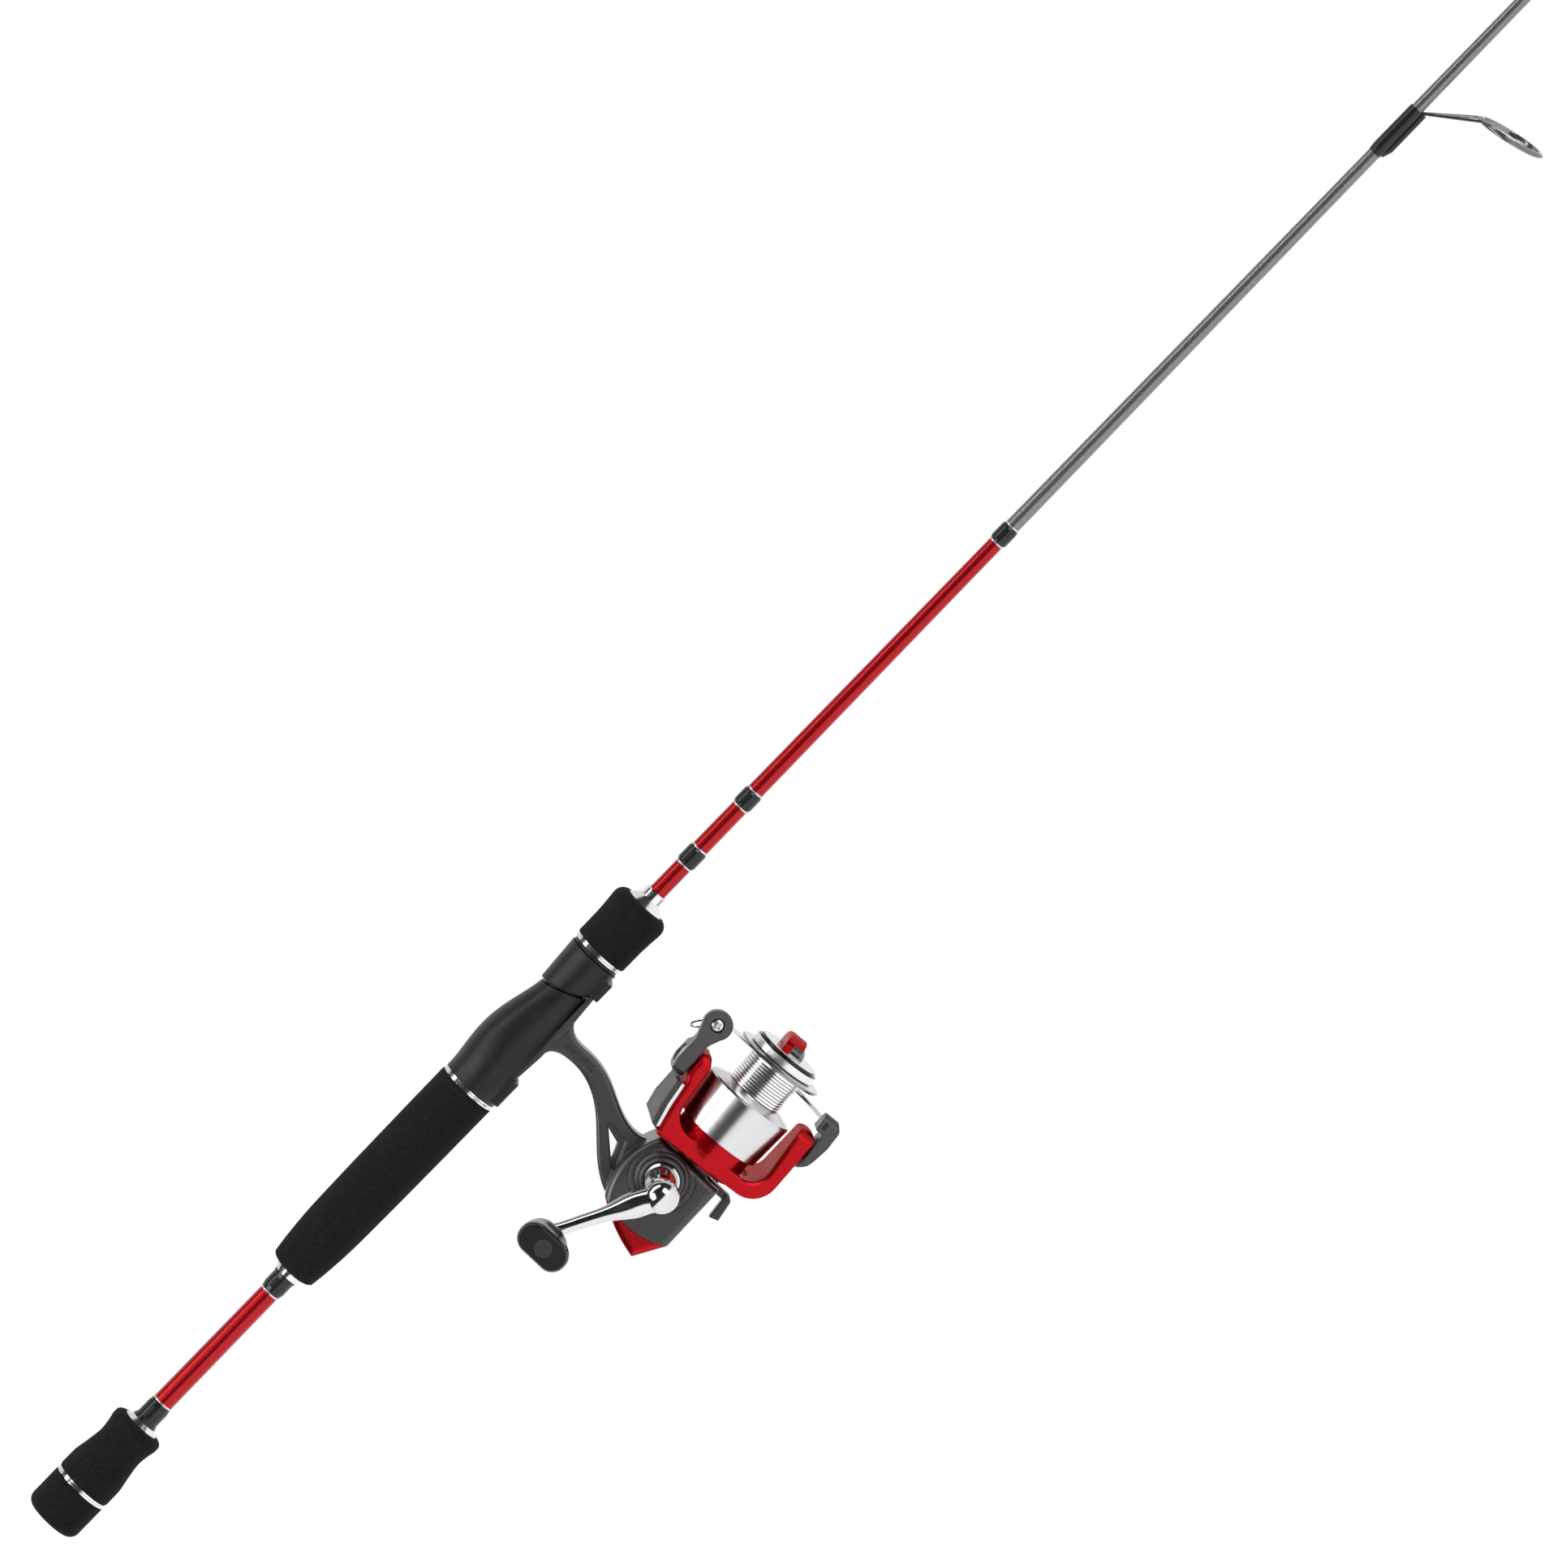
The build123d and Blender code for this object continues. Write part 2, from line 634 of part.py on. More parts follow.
# Locking nut inside the fore grip, with a dark flange behind the trim ring
hood_ring_start = HOOD_END + 2.0
nut_bore = BARREL_R + SLIDE_GAP
save(turned([
    (HOOD_END + 0.2, nut_bore),
    (HOOD_END + 0.2, HOOD_END_R - 0.5),
    (hood_ring_start, HOOD_END_R - 0.5),
    (hood_ring_start, NUT_R),
    (BARREL_END - 1, NUT_R),
    (BARREL_END - 1, nut_bore),
]), "locking_nut")
save(trim_ring(hood_ring_start, HOOD_END_R + 0.3, NUT_R + PRESS_GAP), "hood_trim_ring")

# Fore grip: short foam sleeve, flared at the front
fore_bore = NUT_R + PRESS_GAP
fore_step = BARREL_END + RUN_GAP
with BuildPart() as fore_grip:
    with BuildSketch(rod_side):
        with BuildLine():
            Line((FORE_GRIP_START, fore_bore), (FORE_GRIP_START, FORE_GRIP_R))
            flare_length = FORE_FLARE_AT - FORE_GRIP_START
            flare_rise = FORE_FLARE_R - FORE_GRIP_R
            Spline(*[
                (FORE_GRIP_START + along * flare_length, FORE_GRIP_R + up * flare_rise)
                for along, up in FORE_GRIP_FLARE
            ])
            ThreePointArc(
                (FORE_FLARE_AT, FORE_FLARE_R),
                (FORE_GRIP_END - FORE_ROLL, FORE_FLARE_R - FORE_ROLL),
                (FORE_GRIP_END, FORE_NOSE_R),
            )
            Line((FORE_GRIP_END, FORE_NOSE_R), (FORE_GRIP_END, FORE_CONE_R))
            Line((FORE_GRIP_END, FORE_CONE_R), (fore_step, FORE_CONE_R))
            Line((fore_step, FORE_CONE_R), (fore_step, fore_bore))
            Line((fore_step, fore_bore), (FORE_GRIP_START, fore_bore))
        make_face()
    revolve(axis=rod_axis)
save(fore_grip, "fore_grip")

fore_cone_end = FORE_GRIP_END + FORE_CONE_LENGTH
fore_collar_end = fore_cone_end + FORE_COLLAR_LENGTH
fore_check_bore = blank_r(FORE_GRIP_END) + SLIDE_GAP
save(turned([
    (FORE_GRIP_END, fore_check_bore),
    (FORE_GRIP_END, FORE_NOSE_R - 0.2),
    (fore_cone_end, FORE_CONE_R - 0.4),
    (fore_cone_end + 0.2, FORE_COLLAR_R),
    (fore_collar_end - 0.5, FORE_COLLAR_R),
    (fore_collar_end, FORE_COLLAR_R - 0.5),
    (fore_collar_end, fore_check_bore),
]), "fore_winding_check")

# Decorative thread wraps, the wrap over the colour change, and their metallic bands
with BuildPart() as fore_wraps:
    for start, end in FORE_WRAPS:
        add(on_blank(start, end, WRAP_HEIGHT, BAND_WIDTH).part)
save(fore_wraps, "fore_wraps")
save(on_blank(COLOUR_WRAP[0], COLOUR_WRAP[1], WRAP_HEIGHT, BAND_WIDTH), "colour_wrap")

band_starts = [REAR_WRAP_START - BAND_WIDTH, BUTT_WRAP_END]
for start, end in FORE_WRAPS + (COLOUR_WRAP,):
    band_starts += [start - BAND_WIDTH, end]
with BuildPart() as wrap_bands:
    for start in band_starts:
        add(on_blank(start, start + BAND_WIDTH, BAND_HEIGHT, BAND_WIDTH / 4).part)
save(wrap_bands, "wrap_bands")


def ring_plane(foot_end, ring_r, drop):
    """Plane of a guide ring: it leans so that its lower edge is nearer the tip."""
    lean_angle = math.radians(GUIDE_LEAN)
    top_z = drop - ring_r * math.cos(lean_angle)
    reach = (top_z - blank_r(foot_end)) / math.tan(math.radians(GUIDE_LEG_SLOPE))
    ring_x = foot_end + reach + ring_r * math.sin(lean_angle)
    normal = (math.cos(lean_angle), 0, math.sin(lean_angle))
    return Plane(origin=(ring_x, 0, -drop), x_dir=(0, 1, 0), z_dir=normal)


def hoop_sketch_plane(hoop_plane, radius):
    """Plane through a hoop's wire, square to the hoop, at its +Y side."""
    centre = hoop_plane.origin + hoop_plane.x_dir * radius
    return Plane(origin=centre, x_dir=hoop_plane.x_dir, z_dir=hoop_plane.y_dir)


def guide_frame(foot_start, ring_r, drop, wire_r):
    """Bent-wire guide: a two-wire foot under the wrap, two legs and the wire hoop."""
    foot_end = foot_start + GUIDE_FOOT_LENGTH
    toe = foot_start + GUIDE_TOE
    hoop_plane = ring_plane(foot_end, ring_r, drop)
    hoop_r = ring_r - wire_r
    leg_half = wire_r + GLUE_GAP
    spread = math.radians(GUIDE_SPREAD)
    with BuildPart() as frame:
        with BuildSketch(hoop_sketch_plane(hoop_plane, hoop_r)):
            Circle(wire_r)
        revolve(axis=Axis(hoop_plane.origin, hoop_plane.z_dir))
        for side in (-1, 1):
            foot_tip = Vector(toe, side * leg_half, -blank_r(toe) - wire_r - GLUE_GAP)
            bend = Vector(foot_end, side * leg_half, -blank_r(foot_end) - wire_r - GLUE_GAP)
            aside = hoop_plane.x_dir * (side * hoop_r * math.sin(spread))
            above = hoop_plane.y_dir * (hoop_r * math.cos(spread))
            hoop_top = hoop_plane.origin + aside + above
            for first, last in ((foot_tip, bend), (bend, hoop_top)):
                with BuildSketch(Plane(first, z_dir=last - first)):
                    Circle(wire_r)
                extrude(amount=(last - first).length)
            with Locations(bend):
                Sphere(wire_r)
    return frame


def guide_insert(foot_start, ring_r, drop, wire_r):
    """Polished ring set into the hoop; the line runs through it."""
    hoop_plane = ring_plane(foot_start + GUIDE_FOOT_LENGTH, ring_r, drop)
    centre = ring_r - 2 * wire_r - INSERT_HALF
    with BuildPart() as insert:
        with BuildSketch(hoop_sketch_plane(hoop_plane, centre)):
            SlotOverall(INSERT_WIDTH, 2 * INSERT_HALF, rotation=90)
        revolve(axis=Axis(hoop_plane.origin, hoop_plane.z_dir))
    return insert


def guide_wrap(foot_start, wire_r, frame):
    """Thread wrap that binds a guide's foot wires to the blank."""
    end = foot_start + GUIDE_FOOT_LENGTH - 0.4
    with BuildPart() as wrap:
        for x, height in ((foot_start, 0.1), (foot_start + 3, 0.45), (end, 0.45)):
            with BuildSketch(Plane.YZ.offset(x)):
                Circle(blank_r(x) + GLUE_GAP + height)
        loft(ruled=True)
        cover_r = 2 * wire_r + GLUE_GAP + 0.4
        for x, sink in ((foot_start + 1, wire_r), (foot_start + GUIDE_TOE, 0), (end, 0)):
            with BuildSketch(Plane.YZ.offset(x)):
                with Locations((0, -blank_r(x) - wire_r + 2 * sink)):
                    Circle(cover_r)
        loft(ruled=True)
        with BuildSketch(Plane.YZ.offset(foot_start - 1)):
            Circle(blank_r(foot_start - 1) + GLUE_GAP)
        with BuildSketch(Plane.YZ.offset(end + 1)):
            Circle(blank_r(end + 1) + GLUE_GAP)
        loft(mode=Mode.SUBTRACT)
        add(frame.part, mode=Mode.SUBTRACT)
    return wrap


# Stripper guide, the large one nearest the reel
stripper_frame = guide_frame(*STRIPPER, STRIPPER_WIRE_R)
save(stripper_frame, "stripper_frame")
save(guide_insert(*STRIPPER, STRIPPER_WIRE_R), "stripper_ring")
save(guide_wrap(STRIPPER[0], STRIPPER_WIRE_R, stripper_frame), "stripper_wrap")

# Smaller guides towards the tip
small_wraps = []
small_inserts = []
for number, guide in enumerate(SMALL_GUIDES, start=2):
    small_frame = guide_frame(*guide, GUIDE_WIRE_R)
    save(small_frame, f"guide_{number}_frame")
    small_wraps.append(guide_wrap(guide[0], GUIDE_WIRE_R, small_frame))
    small_inserts.append(guide_insert(*guide, GUIDE_WIRE_R))

# Tip-top: a tube on the tip of the blank with a wire hoop brazed below it
tip_tube_r = blank_r(ROD_LENGTH - TIP_TUBE_LENGTH) + GLUE_GAP + TIP_TUBE_WALL
tip_plane = ring_plane(ROD_LENGTH - TIP_RING_R * 0.6, TIP_RING_R, tip_tube_r + TIP_RING_R * 0.9)
tip_hoop_r = TIP_RING_R - GUIDE_WIRE_R
with BuildPart() as tip_top:
    with BuildSketch(Plane.YZ.offset(ROD_LENGTH + TIP_TUBE_END)):
        Circle(tip_tube_r)
    extrude(amount=-TIP_TUBE_LENGTH - TIP_TUBE_END)
    with BuildSketch(hoop_sketch_plane(tip_plane, tip_hoop_r)):
        Circle(GUIDE_WIRE_R)
    revolve(axis=Axis(tip_plane.origin, tip_plane.z_dir))
    with BuildSketch(Plane.YZ.offset(ROD_LENGTH - TIP_TUBE_LENGTH - TIP_TUBE_END)):
        Circle(blank_r(ROD_LENGTH - TIP_TUBE_LENGTH - TIP_TUBE_END) + GLUE_GAP)
    with BuildSketch(Plane.YZ.offset(ROD_LENGTH + GLUE_GAP)):
        Circle(blank_r(ROD_LENGTH + GLUE_GAP) + GLUE_GAP)
    loft(mode=Mode.SUBTRACT)
save(tip_top, "tip_top")
with BuildPart() as tip_insert:
    with BuildSketch(hoop_sketch_plane(tip_plane, TIP_RING_R - 2 * GUIDE_WIRE_R - INSERT_HALF)):
        SlotOverall(INSERT_WIDTH, 2 * INSERT_HALF, rotation=90)
    revolve(axis=Axis(tip_plane.origin, tip_plane.z_dir))
save(tip_insert, "tip_ring")

with BuildPart() as guide_rings:
    for insert in small_inserts:
        add(insert.part)
save(guide_rings, "guide_rings")
with BuildPart() as guide_wraps:
    for wrap in small_wraps:
        add(wrap.part)
save(guide_wraps, "guide_wraps")

# Reel body: foot, pierced stem and gear housing in one casting
handle_plane = Plane(origin=(CRANK_X, 0, CRANK_Z), x_dir=(1, 0, 0), z_dir=(0, -1, 0))
handle_axis = Axis((CRANK_X, 0, CRANK_Z), (0, -1, 0))
FOOT_TOP = SEAT_LANDING_Z - GLUE_GAP
with BuildPart() as body:
    # stem
    with BuildSketch(rod_side):
        with BuildLine():
            Spline(*STEM_REAR)
            Line(STEM_REAR[-1], STEM_FRONT[0])
            Spline(*STEM_FRONT)
            Polyline(
                STEM_FRONT[-1],
                (STEM_FRONT[-1][0], FOOT_TOP - FOOT_TIP_THICK),
                (STEM_REAR[0][0], FOOT_TOP - FOOT_TIP_THICK),
                STEM_REAR[0],
            )
        make_face()
    extrude(amount=STEM_HALF, both=True)
    stem_curves = body.edges().filter_by(GeomType.BSPLINE)
    fillet(stem_curves.filter_by(lambda edge: abs(edge.center().Y) > STEM_HALF / 2), STEM_EDGE_R)
    # foot, thinned towards heel and toe
    with BuildSketch(rod_side):
        with BuildLine():
            Polyline(
                (FOOT_START, FOOT_TOP),
                (FOOT_END, FOOT_TOP),
                (FOOT_END, FOOT_TOP - FOOT_TIP_THICK),
                (STEM_FRONT[-1][0], FOOT_TOP - FOOT_THICK),
                (STEM_REAR[0][0], FOOT_TOP - FOOT_THICK),
                (FOOT_START, FOOT_TOP - FOOT_TIP_THICK),
                close=True,
            )
        make_face()
    extrude(amount=FOOT_WIDTH / 2, both=True)
    # gear housing, with a curved rear face that the red cover meets
    with BuildSketch(rod_side):
        with BuildLine():
            ThreePointArc(HOUSING_REAR_TOP, HOUSING_REAR_MIDDLE, HOUSING_REAR_BOTTOM)
            Line(HOUSING_REAR_BOTTOM, (BODY_FRONT, HOUSING_FLOOR))
            Line((BODY_FRONT, HOUSING_FLOOR), (BODY_FRONT, HOUSING_REAR_TOP[1]))
            ThreePointArc((BODY_FRONT, HOUSING_REAR_TOP[1]), HOUSING_CROWN, HOUSING_REAR_TOP)
        make_face()
    extrude(amount=BODY_HALF, both=True)
    rim = body.faces().filter_by(Axis.Y).sort_by(Axis.Y)
    housing_edges = rim[0].edges() + rim[-1].edges()
    rear_curve = housing_edges.filter_by(lambda edge: edge.center().X < HOUSING_REAR_BOTTOM[0] - 1)
    fillet(housing_edges - rear_curve, HOUSING_EDGE_R)
    # neck that carries the front bearing inside the rotor
    with BuildSketch(Plane(origin=reel_origin - reel_direction * 3, z_dir=reel_direction)):
        Circle(NECK_R)
    extrude(amount=NECK_LENGTH + 3)
    # recess and slot pierced through the stem
    with BuildSketch(rod_side):
        with BuildLine():
            Polyline(*STEM_RECESS, close=True)
        make_face()
        fillet(vertices(), STEM_CORNER_R)
    extrude(amount=STEM_HALF + 1, both=True, mode=Mode.SUBTRACT)
    with BuildSketch(rod_side):
        with BuildLine():
            Polyline(*STEM_RECESS, close=True)
        make_face()
        fillet(vertices(), STEM_CORNER_R)
        with BuildLine():
            Polyline(*STEM_SLOT, close=True)
        make_face(mode=Mode.SUBTRACT)
    extrude(amount=STEM_HALF - RECESS_DEPTH, both=True)
    # shallow groove down each side of the neck
    with BuildSketch(rod_side):
        with BuildLine():
            Polyline(*STEM_GROOVE, close=True)
        make_face()
    extrude(amount=STEM_HALF + 1, both=True, mode=Mode.SUBTRACT)
    with BuildSketch(rod_side):
        with BuildLine():
            Polyline(*STEM_GROOVE, close=True)
        make_face()
    extrude(amount=STEM_HALF - RECESS_DEPTH, both=True)
    # round opening for the drive gear, closed by the side cover, and the gear well behind it
    with BuildSketch(handle_plane.offset(-BODY_HALF + BODY_WALL)):
        Circle(GEAR_WELL_R)
    extrude(amount=2 * BODY_HALF - BODY_WALL - SIDE_COVER_THICK, mode=Mode.SUBTRACT)
    with BuildSketch(handle_plane.offset(BODY_HALF - SIDE_COVER_THICK)):
        Circle(SIDE_COVER_R)
    extrude(amount=SIDE_COVER_THICK + 1, mode=Mode.SUBTRACT)
    # thin groove round the side cover
    with BuildSketch(handle_plane.offset(BODY_HALF)):
        Circle(SIDE_GROOVE_R + SIDE_GROOVE_WIDTH / 2)
        Circle(SIDE_GROOVE_R - SIDE_GROOVE_WIDTH / 2, mode=Mode.SUBTRACT)
    extrude(amount=-SIDE_GROOVE_DEPTH, mode=Mode.SUBTRACT)
    # far bearing seat
    with BuildSketch(handle_plane.offset(-BODY_HALF - 1)):
        Circle(BEARING_R)
    extrude(amount=BODY_WALL + 2, mode=Mode.SUBTRACT)
    # channel along the main shaft for the slider, and the bore of the neck
    channel = Plane(origin=reel_origin - reel_direction * CHANNEL_BACK, z_dir=reel_direction)
    with BuildSketch(channel):
        Rectangle(2 * CHANNEL_HALF, 2 * CHANNEL_HALF)
    extrude(amount=CHANNEL_BACK - BODY_WALL, mode=Mode.SUBTRACT)
    with BuildSketch(channel):
        Circle(BEARING_R)
    extrude(amount=CHANNEL_BACK + NECK_LENGTH + 1, mode=Mode.SUBTRACT)
    # notch and bore for the anti-reverse lever
    with BuildSketch(Plane.YZ.offset(LEVER_X)):
        with Locations((0, HOUSING_FLOOR + LEVER_NOTCH_HEIGHT / 2 - 2)):
            Rectangle(LEVER_NOTCH_WIDTH, LEVER_NOTCH_HEIGHT + 4)
    extrude(amount=10, mode=Mode.SUBTRACT)
    with BuildSketch(Plane.YZ.offset(LEVER_X)):
        with Locations((0, LEVER_Z)):
            Circle(LEVER_PIN_R + SLIDE_GAP / 2)
    extrude(amount=-LEVER_PIN_LENGTH - SLIDE_GAP, mode=Mode.SUBTRACT)
save(body, "reel_body")

# Rear cover: red shell over the back of the housing
with BuildPart() as rear_cover:
    with BuildSketch(rod_side):
        with BuildLine():
            ThreePointArc(HOUSING_REAR_TOP, HOUSING_REAR_MIDDLE, HOUSING_REAR_BOTTOM)
            Line(HOUSING_REAR_BOTTOM, REAR_COVER_TIP)
            ThreePointArc(REAR_COVER_TIP, REAR_COVER_BACK, HOUSING_REAR_TOP)
        make_face()
    extrude(amount=BODY_HALF - REAR_COVER_STEP, both=True)
    sides = rear_cover.faces().filter_by(Axis.Y).sort_by(Axis.Y)
    back_edges = (sides[0].edges() + sides[-1].edges()).filter_by(
        lambda edge: edge.center().X < HOUSING_REAR_MIDDLE[0] - 0.5)
    chamfer(back_edges, REAR_COVER_CHAMFER)
    with BuildSketch(rod_side):
        with BuildLine():
            Polyline(*REAR_COVER_HOLLOW, close=True)
        make_face()
    extrude(amount=BODY_HALF - REAR_COVER_STEP - BODY_WALL, both=True, mode=Mode.SUBTRACT)
save(rear_cover, "rear_cover")

# Side cover: a round plate with a raised boss and a recess for the handle's collar
handle_side = Plane(origin=(CRANK_X, 0, CRANK_Z), x_dir=(0, -1, 0), z_dir=(-1, 0, 0))
cover_in = BODY_HALF - SIDE_COVER_THICK
cover_face = BODY_HALF + SIDE_COVER_PROUD
boss_face = cover_face + SIDE_BOSS_HEIGHT
recess_floor = boss_face - COLLAR_SINK
bearing_end = cover_in + BEARING_LENGTH
save(turned([
    (cover_in, BEARING_R),
    (bearing_end, BEARING_R),
    (bearing_end, DRIVE_SHAFT_R + RUN_GAP),
    (recess_floor, DRIVE_SHAFT_R + RUN_GAP),
    (recess_floor, COLLAR_R + RUN_GAP),
    (boss_face, COLLAR_R + RUN_GAP),
    (boss_face, SIDE_BOSS_R),
    (boss_face - 0.6, SIDE_BOSS_R + 0.7),
    (cover_face, SIDE_BOSS_R + 1.6),
    (cover_face, SIDE_COVER_R - 0.7),
    (cover_face - 0.6, SIDE_COVER_R - GLUE_GAP),
    (cover_in, SIDE_COVER_R - GLUE_GAP),
], handle_side, handle_axis), "side_cover")


def bushing(inner, outer, start, end, plane, axis):
    """A plain ball-bearing ring, drawn as one race."""
    return turned([(start, inner), (start, outer), (end, outer), (end, inner)], plane, axis)


# Drive gear on its shaft, running across the housing above the main shaft
shaft_end = recess_floor + RUN_GAP
with BuildPart() as drive_gear:
    with BuildSketch(handle_side):
        with BuildLine():
            Polyline(
                (-BODY_HALF - RUN_GAP, 0),
                (-BODY_HALF - RUN_GAP, DRIVE_SHAFT_R),
                (-GEAR_FACE - GEAR_THICK, DRIVE_SHAFT_R),
                (-GEAR_FACE - GEAR_THICK, GEAR_R),
                (-GEAR_FACE, GEAR_R),
                (-GEAR_FACE, GEAR_TOOTH_ROOT),
                (-GEAR_FACE - TOOTH_DEPTH, GEAR_TOOTH_ROOT),
                (-GEAR_FACE - TOOTH_DEPTH, DRIVE_WAIST_R),
                (cover_in - 1, DRIVE_WAIST_R),
                (cover_in - 1, DRIVE_SHAFT_R),
                (shaft_end, DRIVE_SHAFT_R),
                (shaft_end, 0),
                close=True,
            )
        make_face()
    revolve(axis=handle_axis)
    with BuildSketch(handle_plane.offset(-GEAR_FACE)):
        with PolarLocations((GEAR_R + GEAR_TOOTH_ROOT) / 2, DRIVE_TEETH):
            Rectangle(GEAR_R - GEAR_TOOTH_ROOT + 1, TOOTH_GAP)
    extrude(amount=-TOOTH_DEPTH, mode=Mode.SUBTRACT)
save(drive_gear, "drive_gear")

# Pinion: a toothed sleeve round the main shaft; its front end carries the rotor
with BuildPart() as pinion:
    with BuildSketch(reel_side):
        with BuildLine():
            Polyline(
                (PINION_START, SHAFT_R + SHAFT_FIT),
                (PINION_START, PINION_R),
                (PINION_TOOTH_END, PINION_R),
                (PINION_TOOTH_END, SLEEVE_R),
                (ROTOR_WEB + ROTOR_WEB_THICK + NUT_THICK, SLEEVE_R),
                (ROTOR_WEB + ROTOR_WEB_THICK + NUT_THICK, SHAFT_R + SHAFT_FIT),
                close=True,
            )
        make_face()
    revolve(axis=reel_axis)
    with BuildSketch(Plane(origin=reel_origin + reel_direction * PINION_START, z_dir=reel_direction)):
        with PolarLocations(PINION_R, PINION_TEETH):
            Circle(PINION_TOOTH_GAP)
    extrude(amount=PINION_TOOTH_END - PINION_START, mode=Mode.SUBTRACT)
save(pinion, "pinion_gear")

with BuildPart() as bearings:
    drive_bore = DRIVE_SHAFT_R + SHAFT_FIT
    race = BEARING_R - PRESS_GAP
    add(bushing(drive_bore, race, cover_in, bearing_end, handle_side, handle_axis).part)
    add(bushing(drive_bore, race, -BODY_HALF, BODY_WALL - BODY_HALF, handle_side, handle_axis).part)
    add(bushing(SLEEVE_R + SHAFT_FIT, race, NECK_BEARING_START, NECK_BEARING_END, reel_side, reel_axis).part)
save(bearings, "bearings")

# Main shaft with the slider block that strokes it to and fro
save(turned([
    (SHAFT_BACK, 0),
    (SHAFT_BACK, SHAFT_R),
    (SHAFT_FRONT, SHAFT_R),
    (SHAFT_FRONT, 0),
], reel_side, reel_axis), "main_shaft")
with BuildPart() as slider:
    slider_back = reel_origin + reel_direction * SLIDER_START
    slider_plane = Plane(slider_back, x_dir=reel_side.y_dir, z_dir=reel_direction)
    with BuildSketch(slider_plane):
        RectangleRounded(SLIDER_HEIGHT, SLIDER_WIDTH, 1.5)
        Circle(SHAFT_R + PRESS_GAP, mode=Mode.SUBTRACT)
    extrude(amount=SLIDER_LENGTH)
save(slider, "stroke_slider")

# seen from above, with y away from the handle's side
rotor_plan = Plane(origin=reel_origin, x_dir=reel_direction, z_dir=rotor_side.y_dir)


def rotor_outline_from_above(inset):
    """The rotor's plan: wide at the base, narrow along the arms."""
    with BuildSketch(rotor_plan) as plan:
        with BuildLine():
            near_curve = ThreePointArc(
                (ROTOR_BACK, ROTOR_BASE_HALF - inset),
                (ARM_TAPER_S, ARM_TAPER_HALF - inset),
                (ARM_TIP, ARM_HALF - inset),
            )
            Line(near_curve @ 1, (ARM_TIP, 0))
            Line((ARM_TIP, 0), (ROTOR_BACK, 0))
            Line((ROTOR_BACK, 0), near_curve @ 0)
        make_face()
        mirror(about=Plane.XZ)
    return plan.sketch


# Rotor: a U of base and two arms that reach forward beside the spool, with a round cup inside
with BuildPart() as rotor:
    with BuildSketch(rotor_side):
        with BuildLine():
            corners = [place for place, corner_r in ROTOR_OUTLINE]
            corner_radii = [corner_r for place, corner_r in ROTOR_OUTLINE]
            FilletPolyline(*corners, radius=corner_radii, close=True)
        make_face()
    extrude(amount=ROTOR_BASE_HALF, both=True)
    extrude(rotor_outline_from_above(0), amount=2 * LOWER_OUTER_R, both=True, mode=Mode.INTERSECT)
    across_arms = rotor_side.z_dir
    flanks = rotor.faces().filter_by(lambda face: abs(face.normal_at().dot(across_arms)) > 0.7)
    fillet(flanks.edges(), ROTOR_EDGE_R)
    # round the arms' ends about the bail pivot, so that the bail clears them as it turns
    with BuildSketch(rotor_plan):
        with Locations(((ROTOR_BACK + BAIL_PIVOT_S) / 2, 0)):
            Rectangle(BAIL_PIVOT_S - ROTOR_BACK, 2 * ROTOR_BASE_HALF)
        with Locations((BAIL_PIVOT_S, 0)):
            Circle(ARM_TIP_R)
    extrude(amount=2 * LOWER_OUTER_R, both=True, mode=Mode.INTERSECT)
    for side, tip in ((1, UPPER_BOSS_TOP), (-1, LOWER_BOSS_TOP)):
        base = rotor_side.from_local_coords(Vector(BAIL_PIVOT_S, side * BOSS_ROOT, 0))
        with BuildSketch(Plane(base, z_dir=rotor_side.y_dir * side)):
            Circle(BAIL_PIVOT_R)
        extrude(amount=tip - BOSS_ROOT)
    # room for the spool's skirt between base and arms
    skirt_floor = reel_origin + reel_direction * ROTOR_BASE_FRONT
    with BuildSketch(Plane(origin=skirt_floor, z_dir=reel_direction)):
        Circle(SKIRT_REAR_R + SKIRT_ROOM)
    extrude(amount=CUP_LENGTH, mode=Mode.SUBTRACT)
    with BuildSketch(rotor_side):
        with BuildLine():
            Polyline(
                (ROTOR_BACK, NECK_R + 1),
                (ROTOR_BACK, CUP_R - CUP_WALL),
                (ROTOR_BASE_FRONT - 1, CUP_R),
                (CUP_LENGTH, CUP_R),
                (CUP_LENGTH, CUP_R - CUP_WALL),
                (ROTOR_WEB + ROTOR_WEB_THICK, CUP_R - CUP_WALL),
                (ROTOR_WEB + ROTOR_WEB_THICK, SLEEVE_R + PRESS_GAP),
                (ROTOR_WEB, SLEEVE_R + PRESS_GAP),
                (ROTOR_WEB, NECK_R + 1),
                close=True,
            )
        make_face()
    revolve(axis=reel_axis)
    # bores for the housing's neck and the pinion's sleeve
    with BuildSketch(Plane(origin=reel_origin, z_dir=reel_direction)):
        Circle(NECK_R + 1)
    extrude(amount=ROTOR_WEB, mode=Mode.SUBTRACT)
    with BuildSketch(Plane(origin=reel_origin, z_dir=reel_direction)):
        Circle(SLEEVE_R + PRESS_GAP)
    extrude(amount=CUP_LENGTH, mode=Mode.SUBTRACT)
save(rotor, "rotor")

save(turned([
    (ROTOR_WEB + ROTOR_WEB_THICK, SLEEVE_R + PRESS_GAP),
    (ROTOR_WEB + ROTOR_WEB_THICK, ROTOR_NUT_R),
    (ROTOR_WEB + ROTOR_WEB_THICK + NUT_THICK, ROTOR_NUT_R),
    (ROTOR_WEB + ROTOR_WEB_THICK + NUT_THICK, SLEEVE_R + PRESS_GAP),
], reel_side, reel_axis), "rotor_nut")


